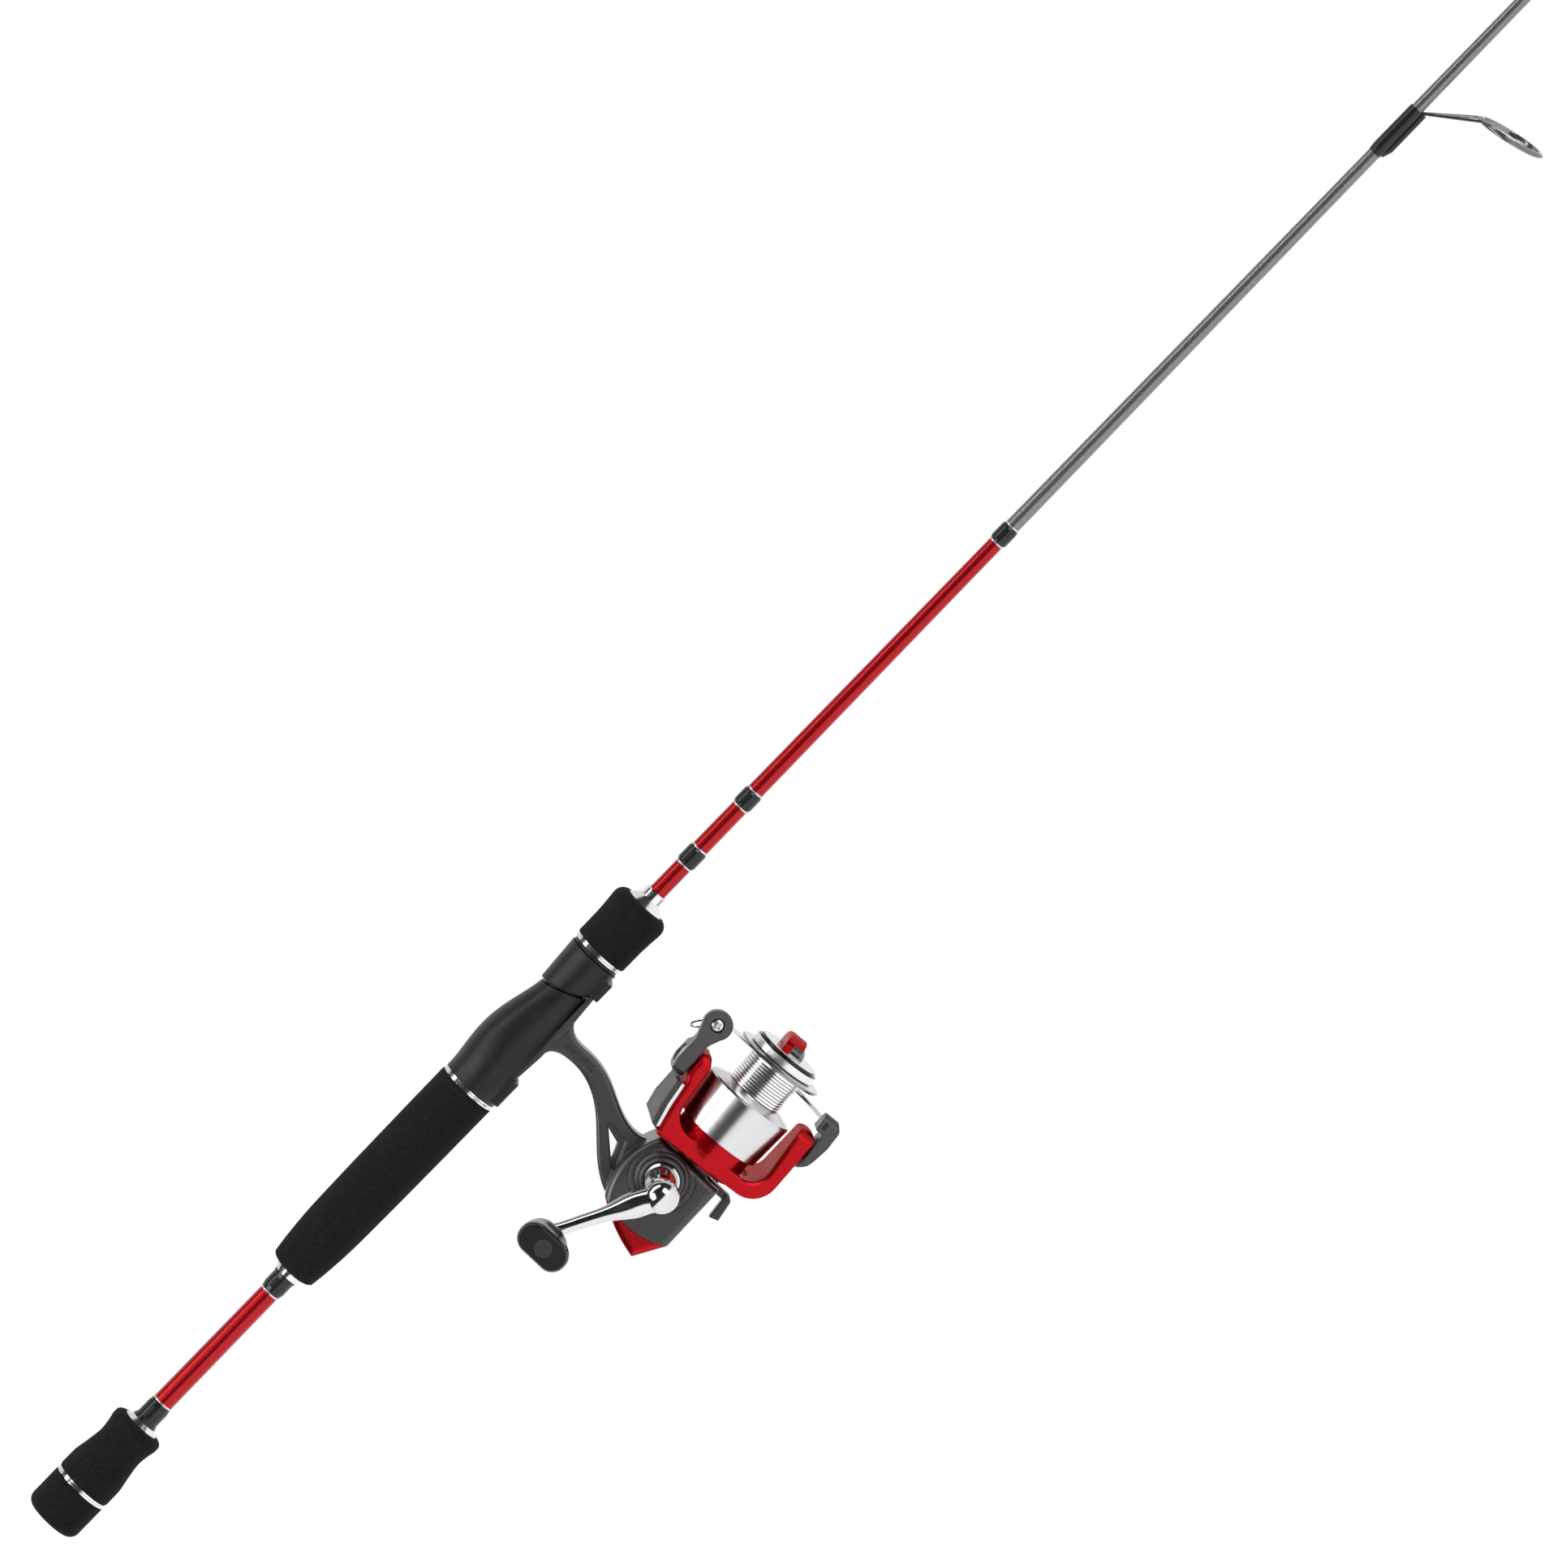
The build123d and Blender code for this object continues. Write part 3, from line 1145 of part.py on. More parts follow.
def arm_plate(points, inset, edge_r):
    """A plate that follows the upper rotor arm, rounded along its two sides."""
    with BuildPart() as plate:
        with BuildSketch(rotor_side):
            with BuildLine():
                Polyline(*points, close=True)
            make_face()
        extrude(amount=ROTOR_BASE_HALF, both=True)
        extrude(rotor_outline_from_above(inset), amount=2 * LOWER_OUTER_R, mode=Mode.INTERSECT)
        top = plate.faces().filter_by(lambda face: face.normal_at().dot(rotor_side.y_dir) > 0.7)
        sides = top.edges().filter_by(
            lambda edge: abs(rotor_side.to_local_coords(edge.center()).Z) > ARM_HALF / 2
        )
        fillet(sides, edge_r)
    return plate


save(arm_plate(ARM_TRIM, ARM_TRIM_INSET, ARM_TRIM_EDGE_R), "arm_trim")
save(arm_plate(ARM_COVER, ARM_COVER_INSET, ARM_COVER_EDGE_R), "arm_cover")

# Spool: skirt, ribbed arbor and front lip turned from one blank
rib_pitch = (ARBOR_END - ARBOR_START) / ARBOR_RIBS
arbor = []
for rib in range(ARBOR_RIBS):
    rib_start = ARBOR_START + rib * rib_pitch
    arbor.append((rib_start + 0.15 * rib_pitch, ARBOR_R - RIB_DEPTH))
    arbor.append((rib_start + 0.5 * rib_pitch, ARBOR_R))
    arbor.append((rib_start + 0.85 * rib_pitch, ARBOR_R))
spool_bore = SHAFT_R + SHAFT_FIT
save(turned([
    (SKIRT_START, SKIRT_REAR_R - SKIRT_WALL),
    (SKIRT_START, SKIRT_REAR_R),
    (SKIRT_FRONT - 0.9, SKIRT_R),
    (SKIRT_FRONT, SKIRT_R - 0.7),
    (SKIRT_FRONT + 0.8, SKIRT_R - 3),
    (ARBOR_START, ARBOR_R + 0.8),
] + arbor + [
    (ARBOR_END, ARBOR_R + 0.6),
    (LIP_S - 0.9, LIP_R - 0.5),
    (LIP_S, LIP_R),
    (LIP_S + 0.5, LIP_R - 0.6),
    (DRAG_SEAT_S, DRAG_R + 0.8),
    (DRAG_SEAT_S, DRAG_WELL_R),
    (DRAG_SEAT_S - DRAG_WELL, DRAG_WELL_R),
    (DRAG_SEAT_S - DRAG_WELL, spool_bore),
    (SPOOL_HUB_BACK, spool_bore),
    (SPOOL_HUB_BACK, SPOOL_HUB_R),
    (SKIRT_FRONT - 1.4, SPOOL_HUB_R),
    (SKIRT_FRONT - 1.4, SKIRT_R - SKIRT_WALL - 0.1),
], reel_side, reel_axis), "spool")

with BuildPart() as drag_washers:
    for layer in range(DRAG_WASHERS):
        washer_start = DRAG_SEAT_S - DRAG_WELL + layer * DRAG_WELL / DRAG_WASHERS
        add(bushing(spool_bore, DRAG_WELL_R - GLUE_GAP, washer_start,
                    washer_start + DRAG_WELL / DRAG_WASHERS - 0.1, reel_side, reel_axis).part)
save(drag_washers, "drag_washers")

# Drag knob: a turned dial on the front of the shaft with a bar across it and a red cap on the bar
dial_back = DRAG_SEAT_S + RUN_GAP
dial_rim = dial_back + DRAG_RIM
dial_front = dial_rim + DRAG_NECK


def wing_arch(crown, half=WING_HALF):
    """The wing seen from its side: an arch over its length, from a crown on the axis down to both ends."""
    with BuildSketch(Plane(origin=reel_origin, x_dir=reel_direction, z_dir=reel_side.y_dir)) as arch:
        with BuildLine():
            ThreePointArc((crown - WING_DROP, -half), (crown, 0), (crown - WING_DROP, half))
            Polyline(
                (crown - WING_DROP, half),
                (dial_front, half),
                (dial_front, -half),
                (crown - WING_DROP, -half),
            )
        make_face()
    return arch.sketch


with BuildPart() as drag_knob:
    with BuildSketch(reel_side):
        with BuildLine():
            Polyline(
                (dial_back, SHAFT_R + PRESS_GAP),
                (dial_back, DRAG_R - 0.4),
                (dial_back + 0.4, DRAG_R),
                (dial_rim - 0.4, DRAG_R),
                (dial_rim, DRAG_R - 0.4),
                (dial_rim, DRAG_NECK_R),
                (dial_front, DRAG_NECK_R),
                (dial_front + 0.5, DRAG_NECK_R - 0.8),
                (dial_front + 0.5, 0),
                (SHAFT_FRONT, 0),
                (SHAFT_FRONT, SHAFT_R + PRESS_GAP),
                close=True,
            )
        make_face()
    revolve(axis=reel_axis)
    bar_top = DRAG_TOP_S - WING_LIP - PRESS_GAP
    with BuildPart(mode=Mode.ADD):
        with BuildSketch(reel_side):
            with BuildLine():
                Polyline(
                    (dial_front, -DRAG_WING_WIDTH / 2),
                    (dial_front, WING_CAP_FLOOR - PRESS_GAP),
                    (bar_top, WING_CAP_FLOOR - PRESS_GAP),
                    (bar_top, WING_CHAMFER - DRAG_WING_WIDTH / 2),
                    (bar_top - WING_CHAMFER, -DRAG_WING_WIDTH / 2),
                    close=True,
                )
            make_face()
        extrude(amount=WING_HALF, both=True)
        extrude(wing_arch(bar_top), amount=DRAG_WING_WIDTH, both=True, mode=Mode.INTERSECT)
save(drag_knob, "drag_knob")
with BuildPart() as drag_cap:
    with BuildSketch(reel_side):
        with BuildLine():
            FilletPolyline(
                (dial_front + DIAL_CROWN, -DRAG_WING_WIDTH / 2 + WING_CHAMFER),
                (dial_front + DIAL_CROWN, DRAG_WING_WIDTH / 2),
                (DRAG_TOP_S, DRAG_WING_WIDTH / 2),
                (DRAG_TOP_S, -DRAG_WING_WIDTH / 2 + WING_CHAMFER),
                radius=[0.1, 0.5, 2.6, 0.6],
                close=True,
            )
        make_face()
    extrude(amount=WING_HALF, both=True)
    extrude(wing_arch(DRAG_TOP_S), amount=DRAG_WING_WIDTH, both=True, mode=Mode.INTERSECT)
    with BuildPart(mode=Mode.SUBTRACT):
        with BuildSketch(reel_side):
            with BuildLine():
                Polyline(
                    (dial_front, -DRAG_WING_WIDTH),
                    (dial_front, WING_CAP_FLOOR),
                    (DRAG_TOP_S - WING_LIP, WING_CAP_FLOOR),
                    (DRAG_TOP_S - WING_LIP, -DRAG_WING_WIDTH),
                    close=True,
                )
            make_face()
        extrude(amount=WING_HALF + 1, both=True)
        under_arch = wing_arch(DRAG_TOP_S - WING_LIP, WING_HALF + 1)
        extrude(under_arch, amount=DRAG_WING_WIDTH, both=True, mode=Mode.INTERSECT)
save(drag_cap, "drag_knob_cap")


def rotor_level(height):
    """Plane square to the bail pivot, at a height along it; its x runs along the reel's axis."""
    foot = rotor_side.from_local_coords(Vector(0, height, 0))
    return Plane(foot, x_dir=reel_direction, z_dir=rotor_side.y_dir)


def rotor_point(along, out, near):
    """A point of the rotor's own frame: along its axis, out along the pivot, and nearer the handle side."""
    return rotor_side.from_local_coords(Vector(along, out, near))


# Bail arm: a thick bar over the upper pivot that thins to a plate with a round end for the line roller
with BuildPart() as bail_arm:
    with BuildSketch(rotor_side):
        with BuildLine():
            FilletPolyline(
                (BAIL_PIVOT_S - BAIL_CAP_R, BAIL_ARM_LOW),
                (BAIL_PIVOT_S - BAIL_CAP_R, BAIL_ARM_HIGH - 1.2),
                (BAIL_PIVOT_S - 2, BAIL_ARM_HIGH),
                (ROLLER_S - 10, BAIL_ARM_HIGH - 0.6),
                (ROLLER_S - 2, ROLLER_UP + BAIL_DISC_R - 0.5),
                (ROLLER_S + 2, ROLLER_UP),
                (ROLLER_S - 2, ROLLER_UP - BAIL_DISC_R + 0.5),
                (ROLLER_S - 9, BAIL_ARM_LOW),
                radius=[0.6, 2.4, 6, 6, 1, 1, 1, 5],
                close=True,
            )
        make_face()
        with Locations((ROLLER_S, ROLLER_UP)):
            Circle(BAIL_DISC_R)
    extrude(amount=BAIL_PLATE_NEAR, both=True)
    with BuildSketch(rotor_plan):
        with Locations((BAIL_PIVOT_S, 0)):
            Circle(BAIL_CAP_R)
        with BuildLine():
            Polyline(
                (BAIL_PIVOT_S, BAIL_PLATE_NEAR),
                (BAIL_PIVOT_S + 4, BAIL_PLATE_NEAR),
                (ROLLER_S - BAIL_DISC_R - 1, BAIL_ARM_THICK - BAIL_PLATE_NEAR),
                (ROLLER_S + BAIL_DISC_R, BAIL_ARM_THICK - BAIL_PLATE_NEAR),
                (ROLLER_S + BAIL_DISC_R, -BAIL_PLATE_NEAR),
                (BAIL_PIVOT_S, -BAIL_PLATE_NEAR),
                close=True,
            )
        make_face()
    extrude(amount=2 * BAIL_ARM_HIGH, mode=Mode.INTERSECT)
    # clear the pivot boss and its screw, and counterbore the round end for the roller screw
    with BuildSketch(rotor_level(BAIL_ARM_LOW - 1)):
        with Locations((BAIL_PIVOT_S, 0)):
            Circle(BAIL_PIVOT_R + SHAFT_FIT)
    extrude(amount=BAIL_ARM_HIGH, mode=Mode.SUBTRACT)
    with BuildSketch(rotor_level(UPPER_BOSS_TOP - PIVOT_SHAKE)):
        with Locations((BAIL_PIVOT_S, 0)):
            Circle(PIVOT_HEAD_R + PIVOT_SHAKE)
    extrude(amount=BAIL_ARM_HIGH, mode=Mode.SUBTRACT)
    with BuildSketch(rotor_side.offset(BAIL_PLATE_NEAR)):
        with Locations((ROLLER_S, ROLLER_UP)):
            Circle(SCREW_HEAD_R + 0.3)
    extrude(amount=-SCREW_SINK, mode=Mode.SUBTRACT)
    with BuildSketch(rotor_side.offset(BAIL_PLATE_NEAR)):
        with Locations((ROLLER_S, ROLLER_UP)):
            Circle(SCREW_R + PRESS_GAP)
    extrude(amount=-2 * BAIL_ARM_THICK, mode=Mode.SUBTRACT)
save(bail_arm, "bail_arm")

roller_axis = Axis(rotor_point(ROLLER_S, ROLLER_UP, 0), rotor_side.z_dir)
roller_side = Plane(rotor_point(ROLLER_S, ROLLER_UP, 0), x_dir=rotor_side.z_dir, z_dir=rotor_side.x_dir)
screw_floor = BAIL_PLATE_NEAR - SCREW_SINK
roller_near = BAIL_PLATE_NEAR - BAIL_ARM_THICK - RUN_GAP
roller_far = roller_near - ROLLER_LENGTH
base_near = roller_far - RUN_GAP
base_far = base_near - WIRE_BASE_LENGTH
with BuildPart() as roller_screw:
    with BuildSketch(roller_side):
        with BuildLine():
            Polyline(
                (base_far + WIRE_BASE_FLOOR + 0.2, 0),
                (base_far + WIRE_BASE_FLOOR + 0.2, SCREW_R),
                (screw_floor, SCREW_R),
                (screw_floor, SCREW_HEAD_R),
                (BAIL_PLATE_NEAR - 0.3, SCREW_HEAD_R),
                (BAIL_PLATE_NEAR + 0.2, SCREW_HEAD_R * 0.7),
                (BAIL_PLATE_NEAR + 0.2, 0),
                close=True,
            )
        make_face()
    revolve(axis=roller_axis)
save(roller_screw, "roller_screw")

save(turned([
    (roller_far, SCREW_R + SHAFT_FIT),
    (roller_far, ROLLER_R),
    (roller_far + 0.35 * ROLLER_LENGTH, ROLLER_R - 0.7),
    (roller_far + 0.65 * ROLLER_LENGTH, ROLLER_R - 0.7),
    (roller_near, ROLLER_R),
    (roller_near, SCREW_R + SHAFT_FIT),
], roller_side, roller_axis), "line_roller")

# Bail lever on the lower rotor arm: a curved plate with an upright boss for the wire's far end
with BuildPart() as bail_lever:
    with BuildSketch(rotor_side):
        with BuildLine():
            boss_back = LEVER_BOSS_S - LEVER_BOSS_R
            boss_front = LEVER_BOSS_S + LEVER_BOSS_R
            FilletPolyline(
                (BAIL_PIVOT_S - LEVER_CAP_R, -LEVER_TOP),
                (boss_back, -LEVER_TOP),
                (boss_back, -LEVER_BOSS_TOP),
                (boss_front, -LEVER_BOSS_TOP),
                (boss_front, 2.4 - LEVER_LOW),
                (LEVER_BOSS_S + 1, -LEVER_LOW),
                (boss_back - 3, -LEVER_LOW),
                (BAIL_PIVOT_S - 3, 2.0 - LEVER_LOW),
                (BAIL_PIVOT_S - LEVER_CAP_R, -0.6 - LEVER_TOP),
                radius=[0.2, 0.8, 0.6, 0.6, 1.4, 2, 8, 4, 0.2],
                close=True,
            )
        make_face()
    extrude(amount=LEVER_CAP_R, both=True)
    with BuildSketch(rotor_plan):
        with Locations((BAIL_PIVOT_S, 0)):
            Circle(LEVER_CAP_R)
        with Locations((LEVER_BOSS_S, 0)):
            Circle(LEVER_BOSS_R)
        make_hull()
    extrude(amount=-2 * LEVER_LOW, mode=Mode.INTERSECT)
    # clear the pivot boss and its screw
    with BuildSketch(rotor_level(-LEVER_TOP + 1)):
        with Locations((BAIL_PIVOT_S, 0)):
            Circle(BAIL_PIVOT_R + SHAFT_FIT)
    extrude(amount=-LEVER_LOW, mode=Mode.SUBTRACT)
    with BuildSketch(rotor_level(PIVOT_SHAKE - LOWER_BOSS_TOP)):
        with Locations((BAIL_PIVOT_S, 0)):
            Circle(PIVOT_HEAD_R + PIVOT_SHAKE)
    extrude(amount=-LEVER_LOW, mode=Mode.SUBTRACT)
save(bail_lever, "bail_lever")

# Bail wire: a hoop round the far side of the spool, from the roller's base to the lever's boss
wire_start = rotor_point(ROLLER_S, ROLLER_UP, base_far + WIRE_BASE_FLOOR / 2)
wire_middle = rotor_point(WIRE_FORWARD_S, 1.0, -WIRE_REACH)
wire_end = rotor_point(LEVER_BOSS_S, -LEVER_BOSS_TOP - 1.6, 0)
with BuildPart() as bail_wire:
    with BuildLine():
        hoop = ThreePointArc(wire_start, wire_middle, wire_end)
    with BuildSketch(Plane(hoop @ 0, z_dir=hoop % 0)):
        Circle(WIRE_R)
    sweep(path=hoop)
    with BuildSketch(rotor_side.offset(base_far)):
        with Locations((ROLLER_S, ROLLER_UP)):
            Circle(ROLLER_R + 0.5)
    extrude(amount=WIRE_BASE_LENGTH)
    with BuildSketch(rotor_side.offset(base_near)):
        with Locations((ROLLER_S, ROLLER_UP)):
            Circle(SCREW_R + PRESS_GAP)
    extrude(amount=WIRE_BASE_FLOOR - WIRE_BASE_LENGTH, mode=Mode.SUBTRACT)
    add(bail_lever.part, mode=Mode.SUBTRACT)
save(bail_wire, "bail_wire")

# Pivot screws hold the bail arm and lever on the rotor's bosses
with BuildPart() as pivot_screws:
    for side, boss_top in ((1, UPPER_BOSS_TOP), (-1, LOWER_BOSS_TOP)):
        seat_plane = Plane(rotor_point(BAIL_PIVOT_S, side * boss_top, 0), z_dir=rotor_side.y_dir * side)
        with BuildSketch(seat_plane):
            Circle(PIVOT_HEAD_R)
        extrude(amount=PIVOT_HEAD)
save(pivot_screws, "bail_pivot_screws")

# Handle shank: stepped collar in the side cover's recess, then a long neck out to the crank
bulb_near = CRANK_OUT - CRANK_BULB_R * 0.8
save(turned([
    (shaft_end, 0),
    (shaft_end, COLLAR_R),
    (shaft_end + COLLAR_STEP, COLLAR_R),
    (shaft_end + COLLAR_STEP + 0.8, COLLAR_R - 0.8),
    (shaft_end + COLLAR_STEP + 0.8, SHANK_R + 1.8),
    (shaft_end + 2 * COLLAR_STEP, SHANK_R + 1.8),
    (shaft_end + 3 * COLLAR_STEP, SHANK_R),
    (bulb_near, SHANK_R),
    (bulb_near, 0),
], handle_side, handle_axis), "handle_shank")

# Crank arm: a bulb on the shank, a tapered arm and an eye for the knob's pin
rise = math.radians(CRANK_RISE)
crank_direction = Vector(-math.cos(rise), 0, math.sin(rise))
crank_origin = Vector(CRANK_X, -CRANK_OUT, CRANK_Z)
knob_origin = Vector(CRANK_X, 0, CRANK_Z) + crank_direction * CRANK_LENGTH
with BuildPart() as crank_arm:
    with Locations(crank_origin):
        Sphere(CRANK_BULB_R)
    for along, half_wide, half_deep in CRANK_SECTIONS:
        section_place = crank_origin + crank_direction * along
        with BuildSketch(Plane(section_place, x_dir=(0, 1, 0), z_dir=crank_direction)):
            Ellipse(half_deep, half_wide)
    loft()
    with BuildSketch(Plane(knob_origin + Vector(0, -CRANK_OUT + CRANK_EYE_HALF, 0), z_dir=(0, -1, 0))):
        Circle(CRANK_EYE_R)
    extrude(amount=2 * CRANK_EYE_HALF)
    fillet(crank_arm.edges().filter_by(GeomType.CIRCLE).group_by(Axis.X)[0], 1.0)
    # flat seat on the shank, and the pin's hole
    with BuildSketch(handle_plane.offset(bulb_near - 20)):
        Circle(2 * CRANK_BULB_R)
    extrude(amount=20, mode=Mode.SUBTRACT)
    with BuildSketch(Plane(knob_origin, z_dir=(0, -1, 0))):
        Circle(KNOB_SHAFT_R)
    extrude(amount=CRANK_OUT + 20, mode=Mode.SUBTRACT)
save(crank_arm, "crank_arm")

knob_start = CRANK_OUT + CRANK_EYE_HALF + RUN_GAP
knob_end = knob_start + KNOB_LENGTH
pin_end = knob_end - KNOB_CAP_SINK - RUN_GAP
with BuildPart() as knob_pin:
    with BuildSketch(Plane(knob_origin + Vector(0, -CRANK_OUT + CRANK_EYE_HALF, 0), z_dir=(0, -1, 0))):
        Circle(KNOB_SHAFT_R)
    extrude(amount=pin_end - CRANK_OUT + CRANK_EYE_HALF)
save(knob_pin, "knob_pin")

# Handle knob: round at the crank, flattened to a paddle at its outer end
with BuildPart() as knob:
    for share, wide, high, corner in KNOB_SECTIONS:
        out = knob_start + share * KNOB_LENGTH
        with BuildSketch(Plane(knob_origin + Vector(0, -out, 0), x_dir=(1, 0, 0), z_dir=(0, -1, 0))):
            RectangleRounded(wide, high, corner)
    loft()
    with BuildSketch(Plane(knob_origin + Vector(0, -knob_end, 0), z_dir=(0, -1, 0))):
        Circle(KNOB_CAP_R)
    extrude(amount=-KNOB_CAP_SINK, mode=Mode.SUBTRACT)
    with BuildSketch(Plane(knob_origin + Vector(0, -knob_end, 0), z_dir=(0, -1, 0))):
        Circle(KNOB_SHAFT_R + SHAFT_FIT)
    extrude(amount=-KNOB_LENGTH - 1, mode=Mode.SUBTRACT)
save(knob, "crank_knob")
with BuildPart() as knob_cap:
    with BuildSketch(Plane(knob_origin + Vector(0, -knob_end + KNOB_CAP_SINK, 0), z_dir=(0, -1, 0))):
        Circle(KNOB_CAP_R - PRESS_GAP)
    extrude(amount=KNOB_CAP_SINK)
save(knob_cap, "knob_cap")

# Screw cap on the far end of the drive shaft
far_face = -BODY_HALF - RUN_GAP
save(turned([
    (far_face, 0),
    (far_face, FAR_CAP_R),
    (far_face - 2.4, FAR_CAP_R),
    (far_face - 3.4, FAR_CAP_R - 1.2),
    (far_face - 3.4, 0),
], handle_side, handle_axis), "shaft_cap")

# Anti-reverse lever: a pin in the housing, a short post and a finger tail below
with BuildPart() as stop_lever:
    with BuildSketch(Plane.YZ.offset(LEVER_X + RUN_GAP)):
        with Locations((0, LEVER_Z)):
            Circle(LEVER_HALF)
        with Locations((0, (LEVER_Z + LEVER_TAIL_Z) / 2)):
            Rectangle(2 * LEVER_HALF, LEVER_Z - LEVER_TAIL_Z)
    extrude(amount=LEVER_PLATE_THICK)
    with BuildSketch(rod_side):
        with BuildLine():
            lever_front = LEVER_X + RUN_GAP + LEVER_PLATE_THICK
            Polyline(
                (lever_front - LEVER_TAIL_LENGTH, LEVER_TAIL_Z - 0.4),
                (lever_front - LEVER_TAIL_LENGTH + 1.4, LEVER_TAIL_Z - 4.2),
                (lever_front - 1.4, LEVER_TAIL_Z - 2.6),
                (lever_front, LEVER_TAIL_Z - 0.6),
                (lever_front, LEVER_TAIL_Z + 1.0),
                (lever_front - LEVER_PLATE_THICK, LEVER_TAIL_Z + 0.6),
                close=True,
            )
        make_face()
    extrude(amount=LEVER_HALF + 0.4, both=True)
    with BuildSketch(Plane.YZ.offset(LEVER_X + RUN_GAP + 0.1)):
        with Locations((0, LEVER_Z)):
            Circle(LEVER_PIN_R)
    extrude(amount=-LEVER_PIN_LENGTH)
save(stop_lever, "anti_reverse_lever")
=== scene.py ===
# %% [markdown]
# A light spinning rod with an open-faced reel. The solids come from the imported model and are never
# moved: this lesson gives them finishes, swaps the soft foam and one screw for detailed pieces, adds a
# small curl of wire, and sets up a studio picture.

import math

import bmesh
import bpy
from mathutils import Matrix, Vector


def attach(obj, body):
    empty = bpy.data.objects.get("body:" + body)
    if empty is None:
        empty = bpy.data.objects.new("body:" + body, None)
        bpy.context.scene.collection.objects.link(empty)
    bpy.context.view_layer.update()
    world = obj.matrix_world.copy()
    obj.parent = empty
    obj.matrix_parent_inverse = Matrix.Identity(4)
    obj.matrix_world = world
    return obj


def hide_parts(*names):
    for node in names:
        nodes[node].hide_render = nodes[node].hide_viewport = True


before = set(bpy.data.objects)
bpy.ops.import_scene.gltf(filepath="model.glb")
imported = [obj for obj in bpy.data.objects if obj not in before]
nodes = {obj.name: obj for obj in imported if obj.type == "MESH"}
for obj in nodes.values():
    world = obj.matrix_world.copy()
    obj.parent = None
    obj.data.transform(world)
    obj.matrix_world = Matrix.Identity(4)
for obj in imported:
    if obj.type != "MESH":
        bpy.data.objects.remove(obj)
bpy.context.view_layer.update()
MM = 0.001

# %% [markdown]
# Curved solids arrive as flat facets. Shading them smooth hides the facets, and a limit on the angle keeps
# every real edge crisp. It changes only how light is worked out, not where a point lies.

# %% Smooth shading with crisp edges
CREASE = math.radians(32)
for solid in nodes.values():
    solid.data.shade_smooth()
    solid.data.set_sharp_from_angle(angle=CREASE)
print("smoothed", len(nodes))

# %% [markdown]
# The reel has its own axis, which leans up a little towards the tip. Several finishes and pieces are easier
# to write in that frame: how far along the axis, how far up from it, and how far towards the handle.

# %% The reel's own frame
REEL_ORIGIN = Vector((286.0, 0.0, -87.7)) * MM
AXIS_LEAN = math.radians(3.5)
ROTOR_TURN = math.radians(6.0)
reel_along = Vector((math.cos(AXIS_LEAN), 0, math.sin(AXIS_LEAN)))
reel_up = Vector((-math.sin(AXIS_LEAN), 0, math.cos(AXIS_LEAN)))
rotor_near = Vector((0, -math.cos(ROTOR_TURN), 0)) - reel_up * math.sin(ROTOR_TURN)
rotor_up = rotor_near.cross(reel_along)


def rotor_point(along, out, near):
    """A place in the rotor's frame, given in millimetres, as a point of the model."""
    return REEL_ORIGIN + (reel_along * along + rotor_up * out + rotor_near * near) * MM


print("reel axis", [round(v, 4) for v in reel_along])

# %% [markdown]
# A finish starts as a plain principled shader. Numbers that are the same all over go straight on its
# sockets. What changes over the surface, such as grain or flake, is wired in by small helpers that work in
# the object's own coordinates, so the detail has a real size and rides along when a piece moves.

# %% Finish helpers


